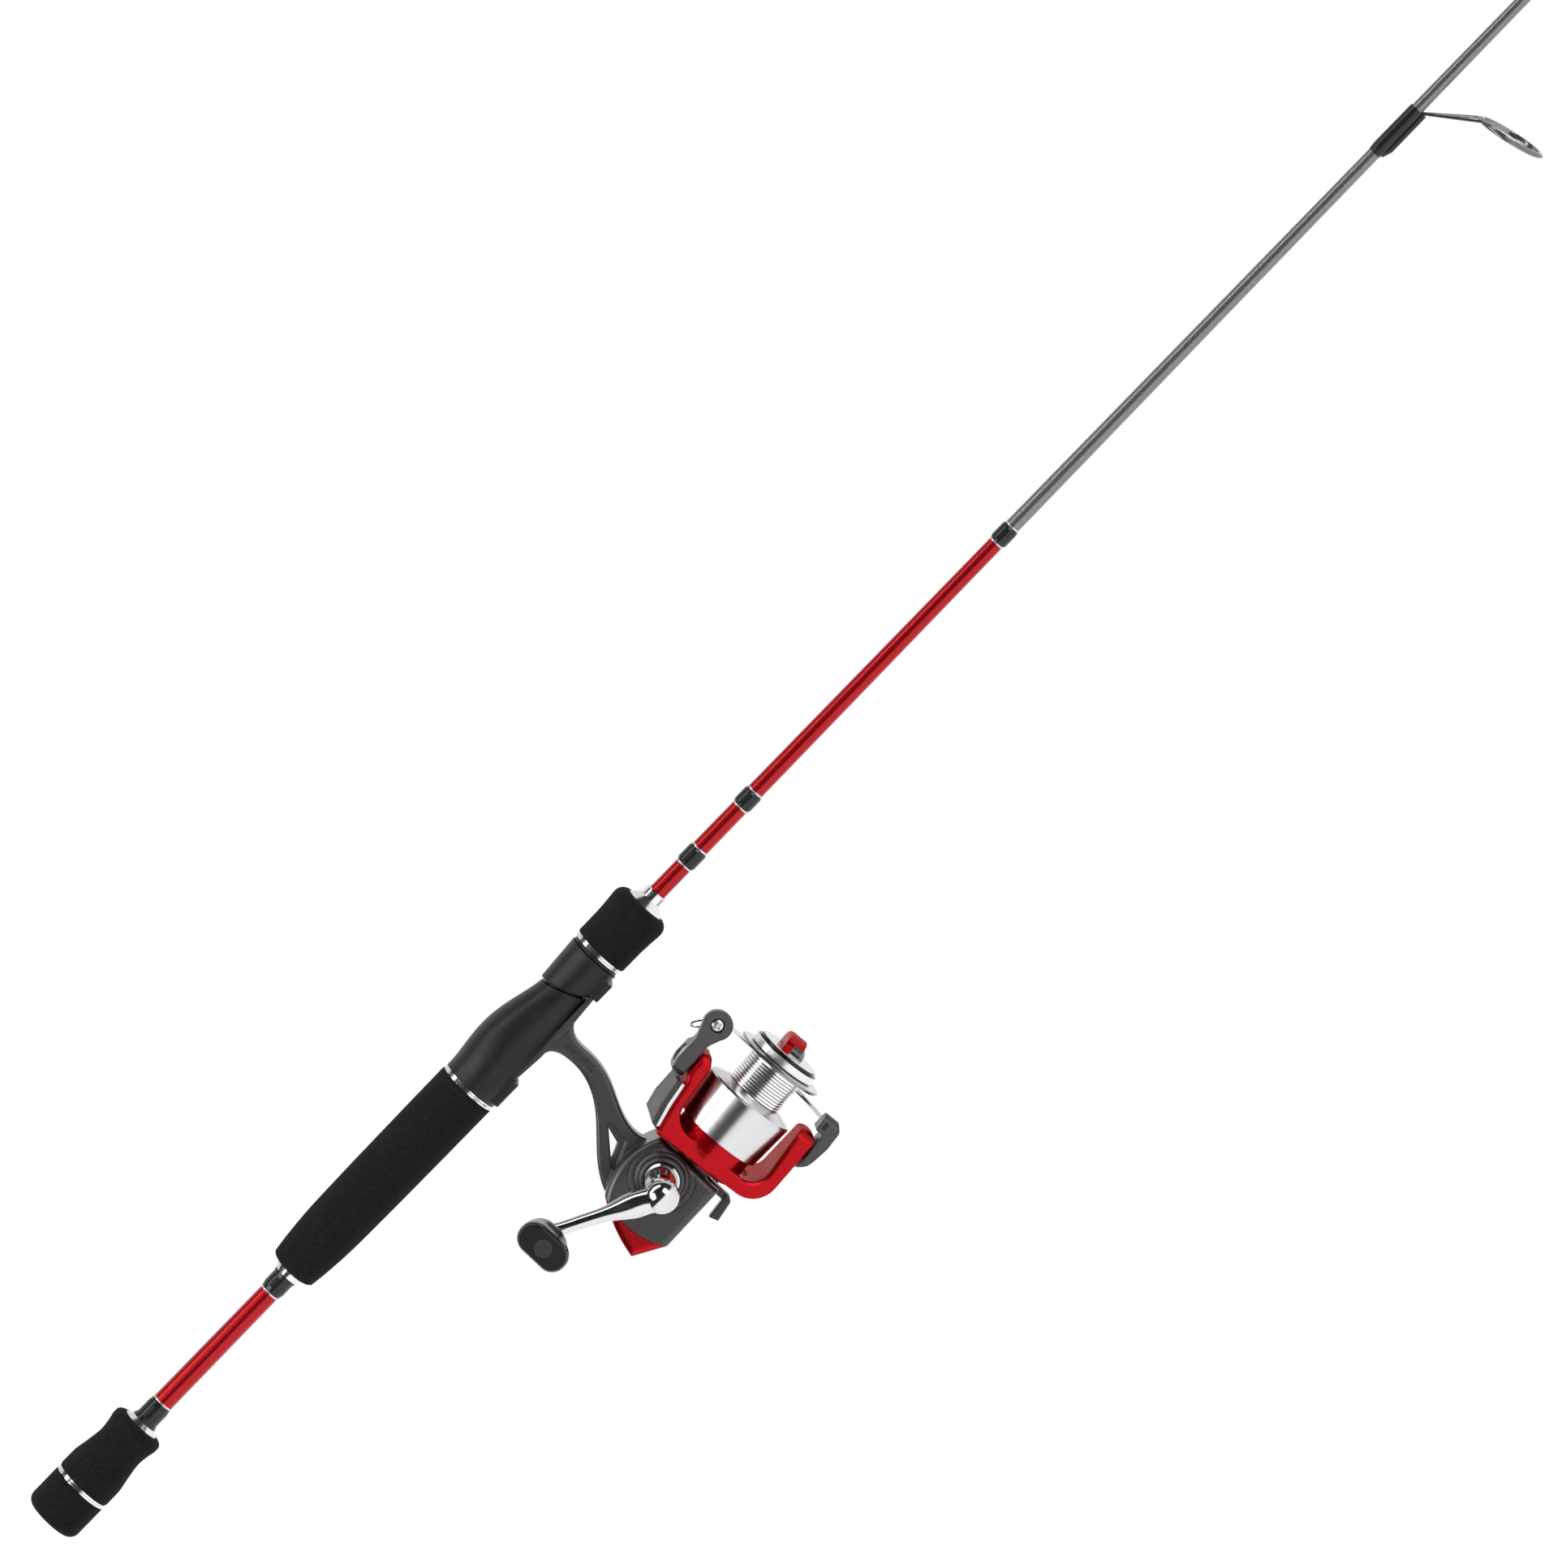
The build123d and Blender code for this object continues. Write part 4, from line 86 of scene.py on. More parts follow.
class Finish:
    """One material, with short calls for the few nodes that the finishes share."""

    def __init__(self, name, **sockets):
        self.material = bpy.data.materials.new(name)
        self.material.use_nodes = True
        self.tree = self.material.node_tree
        self.shader = self.tree.nodes["Principled BSDF"]
        for socket, value in sockets.items():
            self.shader.inputs[socket.replace("_", " ")].default_value = value
        self.place = self.node("ShaderNodeTexCoord").outputs["Object"]

    def node(self, kind, **settings):
        made = self.tree.nodes.new(kind)
        for key, value in settings.items():
            setattr(made, key, value)
        return made

    def link(self, source, target):
        self.tree.links.new(source, target)

    def noise(self, size_mm, detail):
        """Soft noise whose blobs are about this large."""
        made = self.node("ShaderNodeTexNoise")
        made.inputs["Scale"].default_value = 1.0 / (size_mm * MM)
        made.inputs["Detail"].default_value = detail
        self.link(self.place, made.inputs["Vector"])
        return made.outputs["Fac"]

    def cells(self, size_mm, output="Distance"):
        """Packed cells of about this size: pores, flake or pebble."""
        made = self.node("ShaderNodeTexVoronoi")
        made.inputs["Scale"].default_value = 1.0 / (size_mm * MM)
        self.link(self.place, made.inputs["Vector"])
        return made.outputs[output]

    def flake(self, size_mm):
        """A grey of its own for each speck of metal flake."""
        level = self.node("ShaderNodeRGBToBW")
        self.link(self.cells(size_mm, "Color"), level.inputs["Color"])
        return level.outputs["Val"]

    def ramp(self, fac, stops):
        """Colours or greys along a value, as (position, colour) stops."""
        made = self.node("ShaderNodeValToRGB")
        points = made.color_ramp.elements
        while len(points) < len(stops):
            points.new(0.5)
        for point, (position, colour) in zip(points, stops):
            point.position = position
            point.color = (*colour, 1) if len(colour) == 3 else colour
        self.link(fac, made.inputs["Fac"])
        return made.outputs["Color"]

    def grey(self, fac, low, high):
        """A value spread between two levels."""
        made = self.node("ShaderNodeMapRange")
        made.inputs["To Min"].default_value = low
        made.inputs["To Max"].default_value = high
        self.link(fac, made.inputs["Value"])
        return made.outputs["Result"]

    def along(self, direction, origin):
        """Distance along a direction from a point, in millimetres, in the object's coordinates."""
        made = self.node("ShaderNodeVectorMath", operation="DOT_PRODUCT")
        self.link(self.place, made.inputs[0])
        made.inputs[1].default_value = direction
        shift = self.node("ShaderNodeMath", operation="MULTIPLY_ADD")
        self.link(made.outputs["Value"], shift.inputs[0])
        shift.inputs[1].default_value = 1 / MM
        shift.inputs[2].default_value = -Vector(direction).dot(Vector(origin)) / MM
        return shift.outputs["Value"]

    def out_from(self, direction, origin):
        """Distance out from an axis, in millimetres."""
        arm = self.node("ShaderNodeVectorMath", operation="SUBTRACT")
        self.link(self.place, arm.inputs[0])
        arm.inputs[1].default_value = origin
        across = self.node("ShaderNodeVectorMath", operation="CROSS_PRODUCT")
        self.link(arm.outputs["Vector"], across.inputs[0])
        across.inputs[1].default_value = direction
        size = self.node("ShaderNodeVectorMath", operation="LENGTH")
        self.link(across.outputs["Vector"], size.inputs[0])
        return self.math("MULTIPLY", size.outputs["Value"], 1 / MM)

    def within(self, value, low, high):
        """1 where a value lies between two limits, else 0."""
        above = self.math("GREATER_THAN", value, low)
        below = self.math("LESS_THAN", value, high)
        return self.math("MULTIPLY", above, below)

    def mix(self, fac, first, second):
        """First colour where the value is 0, second where it is 1; a colour is a triple or a socket."""
        made = self.node("ShaderNodeMix", data_type="RGBA")
        self.link(fac, made.inputs["Factor"])
        for colour, socket in ((first, made.inputs["A"]), (second, made.inputs["B"])):
            if isinstance(colour, tuple):
                socket.default_value = (*colour, 1)
            else:
                self.link(colour, socket)
        return made.outputs["Result"]

    def math(self, operation, first, second):
        """One sum on values; a number or a socket on each side."""
        made = self.node("ShaderNodeMath", operation=operation)
        for value, socket in ((first, made.inputs[0]), (second, made.inputs[1])):
            if isinstance(value, (int, float)):
                socket.default_value = value
            else:
                self.link(value, socket)
        return made.outputs["Value"]

    def colour(self, socket):
        self.link(socket, self.shader.inputs["Base Color"])
        return self

    def rough(self, socket):
        self.link(socket, self.shader.inputs["Roughness"])
        return self

    def mottled(self, size_mm, detail, dark, light, light_at=0.7):
        """Colour that drifts between two tones in soft blobs."""
        return self.colour(self.ramp(self.noise(size_mm, detail), [(0.3, dark), (light_at, light)]))

    def hazed(self, size_mm, detail, low, high):
        """Gloss that drifts between two levels in soft blobs."""
        return self.rough(self.grey(self.noise(size_mm, detail), low, high))

    def bump(self, height, depth_mm, strength=1.0, edge_mm=0.0):
        """Relief of this real depth, and edges eased over this width, felt by light only."""
        made = self.node("ShaderNodeBump")
        made.inputs["Strength"].default_value = strength
        made.inputs["Distance"].default_value = depth_mm * MM
        self.link(height, made.inputs["Height"])
        if edge_mm:
            eased = self.node("ShaderNodeBevel", samples=6)
            eased.inputs["Radius"].default_value = edge_mm * MM
            self.link(eased.outputs["Normal"], made.inputs["Normal"])
        self.link(made.outputs["Normal"], self.shader.inputs["Normal"])
        return self


def wear(material, *names):
    """Give these solids one finish."""
    for name in names:
        slots = nodes[name].data.materials
        slots.clear()
        slots.append(material)


print("finish helpers ready")

# %% [markdown]
# The grips are closed-cell foam, sanded to a velvety black. Up close it is full of fine open pores. Noise
# varies the black a little, small cells make the pores, and a touch of sheen catches light at the rim.

# %% Foam finish
foam = Finish("foam", Sheen_Weight=0.02, Sheen_Roughness=0.6, Specular_IOR_Level=0.15)
foam.mottled(1.6, 4.0, (0.004, 0.004, 0.0043), (0.011, 0.011, 0.0115), 0.75)
pores = foam.math("MINIMUM", foam.cells(0.55), 0.45)
grain = foam.noise(0.35, 3.0)
foam.rough(foam.grey(grain, 0.82, 1.0))
foam.bump(foam.math("ADD", pores, foam.math("MULTIPLY", grain, 0.5)), 0.12)
print("foam", foam.material.name)

# %% [markdown]
# The reel seat, hood, nut and shaft cap are moulded in satin black plastic with a faint spark-eroded grain.
# Moulded edges are never quite sharp, so the bump also eases them for the light.

# %% Satin plastic finish
satin = Finish("satin_plastic", Specular_IOR_Level=0.3)
satin.mottled(6.0, 3.0, (0.006, 0.006, 0.0065), (0.010, 0.010, 0.011))
satin.hazed(2.5, 3.0, 0.36, 0.46)
satin.bump(satin.noise(0.18, 2.0), 0.02, 0.5, 1.0)
wear(satin.material, "reel_seat", "sliding_hood", "locking_nut", "shaft_cap")
print("satin", satin.material.name)

# %% [markdown]
# The blank is painted candy red over silver as far as the colour wrap, and bare grey flake beyond it. One
# finish does both: the distance along the rod picks the paint, and tiny cells make the metal flake show.

# %% Blank finish
COLOUR_CHANGE = 559.5
blank = Finish("blank_paint", Metallic=0.8, Coat_Weight=0.15, Coat_Roughness=0.06)
blank_flake = blank.flake(0.16)
red_paint = blank.ramp(blank_flake, [(0.1, (0.26, 0.002, 0.005)), (0.9, (0.5, 0.006, 0.012))])
grey_paint = blank.ramp(blank_flake, [(0.1, (0.10, 0.105, 0.105)), (0.9, (0.28, 0.285, 0.285))])
beyond = blank.math("GREATER_THAN", blank.along((1, 0, 0), (0, 0, 0)), COLOUR_CHANGE)
blank.colour(blank.mix(beyond, red_paint, grey_paint))
blank.rough(blank.grey(blank_flake, 0.24, 0.36))
wear(blank.material, "rod_blank")
print("blank", blank.material.name)

# %% [markdown]
# Wraps are fine black thread wound round the blank and drowned in gloss epoxy: the turns show only as a
# faint ripple under a smooth clear coat. The bands beside them are the same with silver thread.

# %% Thread finishes
THREAD_PITCH = 0.32
WAVE_PER_TURN = 0.314


def thread_ripple(finish):
    """Height of round turns of thread, one after another along the rod."""
    turns = finish.node("ShaderNodeTexWave", wave_type="BANDS", bands_direction="X")
    turns.inputs["Scale"].default_value = WAVE_PER_TURN / (THREAD_PITCH * MM)
    turns.inputs["Distortion"].default_value = 0.3
    finish.link(finish.place, turns.inputs["Vector"])
    return turns.outputs["Fac"]


def wound_thread(finish, dark, light):
    """Turns of thread, darker in the gaps between them as painted shade."""
    ripple = thread_ripple(finish)
    finish.colour(finish.ramp(ripple, [(0.0, dark), (1.0, light)]))
    finish.bump(ripple, 0.03, 0.4)


thread = Finish(
    "thread_wrap", Roughness=0.35, Specular_IOR_Level=0.2, Coat_Weight=0.35, Coat_Roughness=0.04
)
wound_thread(thread, (0.004, 0.004, 0.004), (0.014, 0.014, 0.015))
wear(thread.material, "butt_wrap", "rear_wrap", "fore_wraps", "colour_wrap", "stripper_wrap", "guide_wraps")
silver_thread = Finish("silver_thread", Metallic=0.9, Roughness=0.3, Coat_Weight=1.0, Coat_Roughness=0.05)
wound_thread(silver_thread, (0.42, 0.42, 0.43), (0.8, 0.8, 0.8))
wear(silver_thread.material, "wrap_bands")
print("threads", thread.material.name, silver_thread.material.name)

# %% [markdown]
# Trim rings and winding checks are turned aluminium. The lathe tool leaves fine rings round the axis, so
# the noise runs along the axis only and stays the same all the way round.

# %% Turned metal finish
VALLEY_SHADE = 0.88


def turned_metal(name, colour, low, high, direction, origin, line_mm):
    """Polished metal with lathe rings square to a direction."""
    finish = Finish(name, Metallic=1.0)
    rings = finish.node("ShaderNodeTexNoise", noise_dimensions="1D")
    rings.inputs["Scale"].default_value = 1 / line_mm
    rings.inputs["Detail"].default_value = 4.0
    finish.link(finish.along(direction, origin), rings.inputs["W"])
    valley = tuple(VALLEY_SHADE * part for part in colour)
    finish.tone = finish.ramp(rings.outputs["Fac"], [(0.3, valley), (0.7, colour)])
    finish.colour(finish.tone)
    finish.rough(finish.grey(rings.outputs["Fac"], low, high))
    finish.bump(rings.outputs["Fac"], 0.01, 0.35)
    return finish


trim = turned_metal("trim_ring_metal", (0.72, 0.72, 0.73), 0.1, 0.24, (1, 0, 0), (0, 0, 0), 0.25)
wear(trim.material, "butt_trim_ring", "rear_trim_ring", "hood_trim_ring")
wear(trim.material, "butt_winding_check", "rear_winding_check", "fore_winding_check")
print("turned", trim.material.name)

# %% [markdown]
# The spool is turned too, round the reel's axis. Its arbor is ribbed: painted shade greys the grooves and
# painted light brightens the lands. A painted dark reflection greys the thin edge of the lip. Two distances,
# along the axis and out from it, find these places.

# %% Spool finish
ARBOR_START = 38.4
ARBOR_END = 52.6
ARBOR_RIBS = 11
GROOVE_SHARE = 0.36
LIP_LINE = 19.1
RIBS_PER_MM = ARBOR_RIBS / (ARBOR_END - ARBOR_START)
spool_metal = turned_metal("spool_metal", (0.6, 0.6, 0.61), 0.14, 0.3, reel_along, REEL_ORIGIN, 0.3)
spool_s = spool_metal.along(reel_along, REEL_ORIGIN)
past_start = spool_metal.math("SUBTRACT", spool_s, ARBOR_START)
rib_place = spool_metal.math("FRACT", spool_metal.math("MULTIPLY", past_start, RIBS_PER_MM), 0.0)
# Painted shade greys the arbor's grooves, and painted light brightens its lands above the spool's own tone.
in_groove_shade = spool_metal.math("LESS_THAN", rib_place, GROOVE_SHARE)
rib_light_and_shade = spool_metal.mix(in_groove_shade, (0.86, 0.86, 0.87), (0.46, 0.46, 0.465))
# Painted dark reflection: the thin edge of the lip is painted dark grey.
spool_out = spool_metal.out_from(reel_along, REEL_ORIGIN)
past_lip_line = spool_metal.math("GREATER_THAN", spool_out, LIP_LINE)
past_arbor = spool_metal.math("GREATER_THAN", spool_s, ARBOR_END)
lip_reflection_mask = spool_metal.math("MULTIPLY", past_lip_line, past_arbor)
tone_with_lip_reflection = spool_metal.mix(lip_reflection_mask, spool_metal.tone, (0.25, 0.25, 0.255))
on_arbor = spool_metal.within(spool_s, ARBOR_START, ARBOR_END)
spool_metal.colour(spool_metal.mix(on_arbor, tone_with_lip_reflection, rib_light_and_shade))
wear(spool_metal.material, "spool")
print("spool", spool_metal.material.name)

# %% [markdown]
# Chrome covers the crank, its shank, the arm trim, the bail wire and the roller. Plating is never perfectly
# flat, so a broad faint ripple bends the reflections and a haze varies the gloss. Screws, pins and the main
# shaft are plain steel, a little duller.

# %% Chrome and steel finishes
chrome = Finish("chrome", Metallic=1.0, Base_Color=(0.57, 0.58, 0.59, 1))
chrome.hazed(3.0, 3.0, 0.09, 0.17)
chrome.bump(chrome.noise(7.0, 1.0), 0.06, 0.25)
wear(chrome.material, "arm_trim", "handle_shank", "crank_arm", "line_roller", "bail_wire")
steel = Finish("steel", Metallic=1.0)
steel.mottled(0.8, 4.0, (0.5, 0.5, 0.5), (0.66, 0.65, 0.64))
steel.hazed(0.5, 3.0, 0.2, 0.36)
wear(steel.material, "main_shaft", "roller_screw", "knob_pin", "bail_pivot_screws", "bearings")
print("plated", chrome.material.name, steel.material.name)

# %% [markdown]
# The guides' wire frames are plated dark, and their rings are a polished grey glaze. Both are small, so fine
# noise is enough to keep them from looking like plain tube.

# %% Guide finishes
guide_steel = Finish("guide_steel", Metallic=1.0)
guide_steel.mottled(1.5, 3.0, (0.12, 0.11, 0.105), (0.2, 0.19, 0.18))
guide_steel.hazed(0.6, 2.0, 0.2, 0.34)
guide_frames = [f"guide_{number}_frame" for number in range(2, 6)]
wear(guide_steel.material, "stripper_frame", "tip_top", *guide_frames)
ring_glaze = Finish("ring_glaze", Metallic=0.85)
ring_glaze.mottled(1.0, 3.0, (0.2, 0.19, 0.18), (0.29, 0.275, 0.265))
ring_glaze.hazed(0.8, 2.0, 0.1, 0.22)
wear(ring_glaze.material, "stripper_ring", "guide_rings", "tip_ring")
print("guides", guide_steel.material.name, ring_glaze.material.name)

# %% [markdown]
# The housing, its small lever and the bail's arm and lever share a dark metallic paint: near black with fine
# bright flake and a thin clear coat. The rotor arm's cover is duller. The bail lever also has a small slot
# in its near face, coloured near black as painted shade, picked out by three distances in the rotor's frame.

# %% Dark metallic paints


def metallic_paint(name, dark, bright, metallic, rough, coat, edge_mm=0.0):
    """Paint with fine metal flake under a clear coat, a little orange peel on top."""
    finish = Finish(name, Metallic=metallic, Coat_Weight=coat, Coat_Roughness=0.07)
    finish.tone = finish.ramp(finish.flake(0.14), [(0.15, dark), (0.95, bright)])
    finish.colour(finish.tone)
    finish.hazed(1.2, 3.0, rough - 0.05, rough + 0.06)
    finish.bump(finish.noise(0.9, 2.0), 0.012, 0.3, edge_mm)
    return finish


SLOT_START = 45.0
SLOT_END = 48.6
SLOT_LOW = -31.3
SLOT_HIGH = -29.5
GUN_DARK = (0.030, 0.029, 0.028)
GUN_BRIGHT = (0.082, 0.079, 0.077)
gunmetal = metallic_paint("gunmetal_paint", GUN_DARK, GUN_BRIGHT, 0.6, 0.36, 0.25, 1.3)
wear(gunmetal.material, "reel_body", "side_cover", "bail_arm", "anti_reverse_lever")
cover_paint = metallic_paint("cover_paint", GUN_DARK, GUN_BRIGHT, 0.25, 0.5, 0.1, 1.3)
cover_paint.shader.inputs["Specular IOR Level"].default_value = 0.25
wear(cover_paint.material, "arm_cover")
lever_paint = metallic_paint("lever_paint", GUN_DARK, GUN_BRIGHT, 0.6, 0.36, 0.25, 1.3)
# Painted shade: the slot in the lever's near face is coloured near black.
slot_along = lever_paint.within(lever_paint.along(reel_along, REEL_ORIGIN), SLOT_START, SLOT_END)
slot_up = lever_paint.within(lever_paint.along(rotor_up, REEL_ORIGIN), SLOT_LOW, SLOT_HIGH)
slot_near = lever_paint.math("GREATER_THAN", lever_paint.along(rotor_near, REEL_ORIGIN), 0.0)
in_slot_shade = lever_paint.math("MULTIPLY", slot_near, lever_paint.math("MULTIPLY", slot_along, slot_up))
lever_paint.colour(lever_paint.mix(in_slot_shade, lever_paint.tone, (0.004, 0.004, 0.004)))
wear(lever_paint.material, "bail_lever")
print("dark paints", gunmetal.material.name, cover_paint.material.name, lever_paint.material.name)

# %% [markdown]
# The rotor and the rear cover are the same kind of paint in red. The drag dial's cap is red as well, with a
# grey flank below its crest.

# %% Red paints
RED_DARK = (0.34, 0.0015, 0.005)
RED_BRIGHT = (0.46, 0.003, 0.009)
RED_TINT = (0.6, 0.03, 0.05, 1)
CAP_LINE_S = 65.6
CAP_LINE_UP = 1.25
red = metallic_paint("red_paint", RED_DARK, RED_BRIGHT, 0.85, 0.25, 0.15, 2.6)
red.shader.inputs["Specular Tint"].default_value = RED_TINT
wear(red.material, "rear_cover", "rotor")
cap_paint = metallic_paint("cap_paint", RED_DARK, RED_BRIGHT, 0.85, 0.25, 0.15, 1.0)
cap_paint.shader.inputs["Specular Tint"].default_value = RED_TINT
below_crest = cap_paint.math("LESS_THAN", cap_paint.along(reel_along, REEL_ORIGIN), CAP_LINE_S)
lower_side = cap_paint.math("LESS_THAN", cap_paint.along(reel_up, REEL_ORIGIN), CAP_LINE_UP)
on_flank = cap_paint.math("MULTIPLY", below_crest, lower_side)
cap_paint.colour(cap_paint.mix(on_flank, cap_paint.tone, (0.14, 0.14, 0.145)))
wear(cap_paint.material, "drag_knob_cap")
print("red paints", red.material.name, cap_paint.material.name)

# %% [markdown]
# The drag dial is one moulding with three looks along its axis: a bright turned disc, a dark waist and a
# grey bar. The distance along the reel's axis chooses between them.

# %% Drag dial finish
DIAL_RIM = 59.25
DIAL_FRONT = 60.75
BAR_START = 61.75
dial = Finish("drag_dial", Metallic=0.85)
dial_s = dial.along(reel_along, REEL_ORIGIN)
in_waist = dial.within(dial_s, DIAL_RIM, DIAL_FRONT)
on_bar = dial.math("GREATER_THAN", dial_s, BAR_START)
dial_grain = dial.noise(0.5, 3.0)
disc_metal = dial.ramp(dial_grain, [(0.3, (0.66, 0.66, 0.67)), (0.7, (0.8, 0.8, 0.81))])
bar_grey = dial.ramp(dial_grain, [(0.3, (0.26, 0.26, 0.27)), (0.7, (0.36, 0.36, 0.37))])
disc_or_bar = dial.mix(on_bar, disc_metal, bar_grey)
dial.colour(dial.mix(in_waist, disc_or_bar, (0.03, 0.03, 0.032)))
dial.rough(dial.grey(dial_grain, 0.2, 0.34))
wear(dial.material, "drag_knob")
print("dial", dial.material.name)

# %% [markdown]
# The crank's knob is a hard dark plastic, glossy from handling, with a faint cloudiness in the colour. The
# cap on its end is glossier.

# %% Knob finishes
knob_gloss = Finish("knob_gloss", Specular_IOR_Level=0.25, Coat_Weight=0.15, Coat_Roughness=0.1)
knob_gloss.mottled(3.0, 4.0, (0.004, 0.004, 0.0042), (0.008, 0.008, 0.0085))
knob_gloss.hazed(1.5, 3.0, 0.2, 0.3)
wear(knob_gloss.material, "crank_knob")
cap_gloss = Finish("knob_cap_gloss", Coat_Weight=0.6, Coat_Roughness=0.05)
cap_gloss.mottled(1.0, 3.0, (0.002, 0.002, 0.002), (0.005, 0.005, 0.005))
cap_gloss.hazed(0.8, 2.0, 0.16, 0.26)
wear(cap_gloss.material, "knob_cap")
print("knob", knob_gloss.material.name, cap_gloss.material.name)

# %% [markdown]
# Little of the inside shows, so its finishes are simple: grey metal for the drive gear and the slider, brass
# for the pinion and the rotor's nut, and felt for the drag washers.

# %% Inner finishes
inner = metallic_paint("inner_metal", (0.4, 0.4, 0.41), (0.55, 0.55, 0.56), 1.0, 0.35, 0.0)
wear(inner.material, "drive_gear", "stroke_slider")
brass = metallic_paint("brass", (0.55, 0.4, 0.16), (0.75, 0.58, 0.27), 1.0, 0.3, 0.0)
wear(brass.material, "pinion_gear", "rotor_nut")
felt = Finish("drag_felt", Roughness=0.95)
felt.mottled(0.4, 4.0, (0.2, 0.19, 0.17), (0.36, 0.35, 0.32))
felt.bump(felt.noise(0.3, 4.0), 0.08)
wear(felt.material, "drag_washers")
print("inner", inner.material.name, brass.material.name, felt.material.name)

# %% [markdown]
# Each foam grip is a sleeve turned on a lathe, so it is drawn as a profile spun round the rod. Foam isn't
# machined as true as metal: tiny waves in the radius keep the outline from looking like plastic.

# %% Spun foam
SPIN_STEPS = 160
FOAM_WAVE = 0.03


def spun_foam(name, node, body, profile):
    """A foam sleeve from (x, radius) points in millimetres, spun round the rod."""
    shape = bmesh.new()
    rings = []
    for x, radius in profile:
        ring = []
        for step in range(SPIN_STEPS):
            turn = 2 * math.pi * step / SPIN_STEPS
            wave = math.sin(3 * turn + x * 0.31) + math.sin(7 * turn - x * 0.83) + math.sin(x * 1.7)
            r = radius - FOAM_WAVE * (0.6 + wave / 5)
            ring.append(shape.verts.new((x * MM, r * math.cos(turn) * MM, r * math.sin(turn) * MM)))
        rings.append(ring)
    for lower, upper in zip(rings, rings[1:] + rings[:1]):
        for step in range(SPIN_STEPS):
            after = (step + 1) % SPIN_STEPS
            shape.faces.new((lower[step], lower[after], upper[after], upper[step]))
    bmesh.ops.recalc_face_normals(shape, faces=shape.faces)
    mesh = bpy.data.meshes.new(name)
    shape.to_mesh(mesh)
    shape.free()
    mesh.shade_smooth()
    mesh.materials.append(foam.material)
    piece = bpy.data.objects.new(name, mesh)
    bpy.context.scene.collection.objects.link(piece)
    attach(piece, body)
    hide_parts(node)
    return piece


print("foam lathe ready")

# %% [markdown]
# A profile is a short list of points. One helper draws a smooth curve through them, and another rolls a
# corner over, as sanding does.

# %% Foam grips
ROLL_STEPS = 8


def finer(points, steps=6):
    """The same profile with a smooth curve through its points."""
    dense = []
    for index in range(len(points) - 1):
        before = points[max(index - 1, 0)]
        here = points[index]
        there = points[index + 1]
        beyond = points[min(index + 2, len(points) - 1)]
        for step in range(steps):
            t = step / steps
            place = []
            for k in range(2):
                slope = (there[k] - before[k]) / 2
                slope_next = (beyond[k] - here[k]) / 2
                a = 2 * here[k] - 2 * there[k] + slope + slope_next
                b = -3 * here[k] + 3 * there[k] - 2 * slope - slope_next
                place.append(a * t**3 + b * t**2 + slope * t + here[k])
            dense.append(tuple(place))
    return dense + [points[-1]]


def rolled(x, r, size, start, end):
    """Points round a rolled corner of this radius, between two angles in degrees."""
    arc = []
    for step in range(ROLL_STEPS + 1):
        turn = math.radians(start + (end - start) * step / ROLL_STEPS)
        arc.append((x + size * math.cos(turn), r + size * math.sin(turn)))
    return arc


BORE = 4.7
REAR_BORE = 4.4
cap_profile = [(18.3, BORE), (18.3, 12.1), (17.9, 12.5)]
cap_profile += rolled(4.2, 8.3, 4.2, 90, 180) + [(0.0, 0.2), (5.9, 0.2), (5.9, BORE)]
spun_foam("butt_cap_foam", "butt_cap", "rod", cap_profile)
butt_waist = [(20.9, 12.55), (25, 12.55), (29, 12.4), (35, 11.35), (41.5, 10.5), (46.5, 10.95), (50, 11.7)]
butt_profile = [(20.1, BORE), (20.1, 12.1)] + finer(butt_waist)
butt_profile += rolled(51.2, 8.9, 3.0, 68, 0) + [(54.4, 8.2), (54.4, BORE)]
spun_foam("butt_grip_foam", "butt_grip", "rod", butt_profile)
rear_taper = [(144, 10.2), (152.2, 11.2), (165.4, 12.16), (185.8, 12.6), (215.4, 12.86), (245.4, 13.0)]
rear_profile = [(142.2, REAR_BORE), (142.2, 6.9), (142.9, 8.9)] + finer(rear_taper)
rear_profile += [(246.0, 12.6), (246.0, REAR_BORE)]
spun_foam("rear_grip_foam", "rear_grip", "rod", rear_profile)
fore_flare = [(324.6, 12.2), (330.6, 12.22), (335.9, 12.3), (341.2, 12.64), (345.0, 12.98)]
fore_profile = [(324.2, 10.5), (324.2, 11.8)] + finer(fore_flare) + rolled(345.9, 8.7, 4.25, 88, 0)
fore_profile += [(350.15, 5.5), (344.4, 5.5), (344.4, 10.5)]
spun_foam("fore_grip_foam", "fore_grip", "nut", fore_profile)
print("foam grips made")

# %% [markdown]
# Two small pieces of the bail are skinned over rows of rings. These helpers join the rings, and say which
# body a piece rides with and which solid it stands for, if any.

# %% Mesh helpers


def add_piece(name, shape, material, body, stands_for=None):
    """Put a finished mesh in the scene, on the body that it rides with."""
    bmesh.ops.recalc_face_normals(shape, faces=shape.faces)
    mesh = bpy.data.meshes.new(name)
    shape.to_mesh(mesh)
    shape.free()
    mesh.shade_smooth()
    mesh.set_sharp_from_angle(angle=CREASE)
    mesh.materials.append(material)
    piece = bpy.data.objects.new(name, mesh)
    bpy.context.scene.collection.objects.link(piece)
    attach(piece, body)
    if stands_for:
        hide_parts(stands_for)
    return piece


def joined_rings(shape, rings):
    """Skin a row of equal rings and close both ends."""
    for lower, upper in zip(rings, rings[1:]):
        for step in range(len(lower)):
            after = (step + 1) % len(lower)
            shape.faces.new((lower[step], lower[after], upper[after], upper[step]))
    shape.faces.new(rings[0])
    shape.faces.new(list(reversed(rings[-1])))


print("mesh helpers ready")

# %% [markdown]
# The roller turns on a screw with a domed head. Its cross recess is pressed into the dome: each point of the
# head drops where it lies inside one of the two arms of the cross.

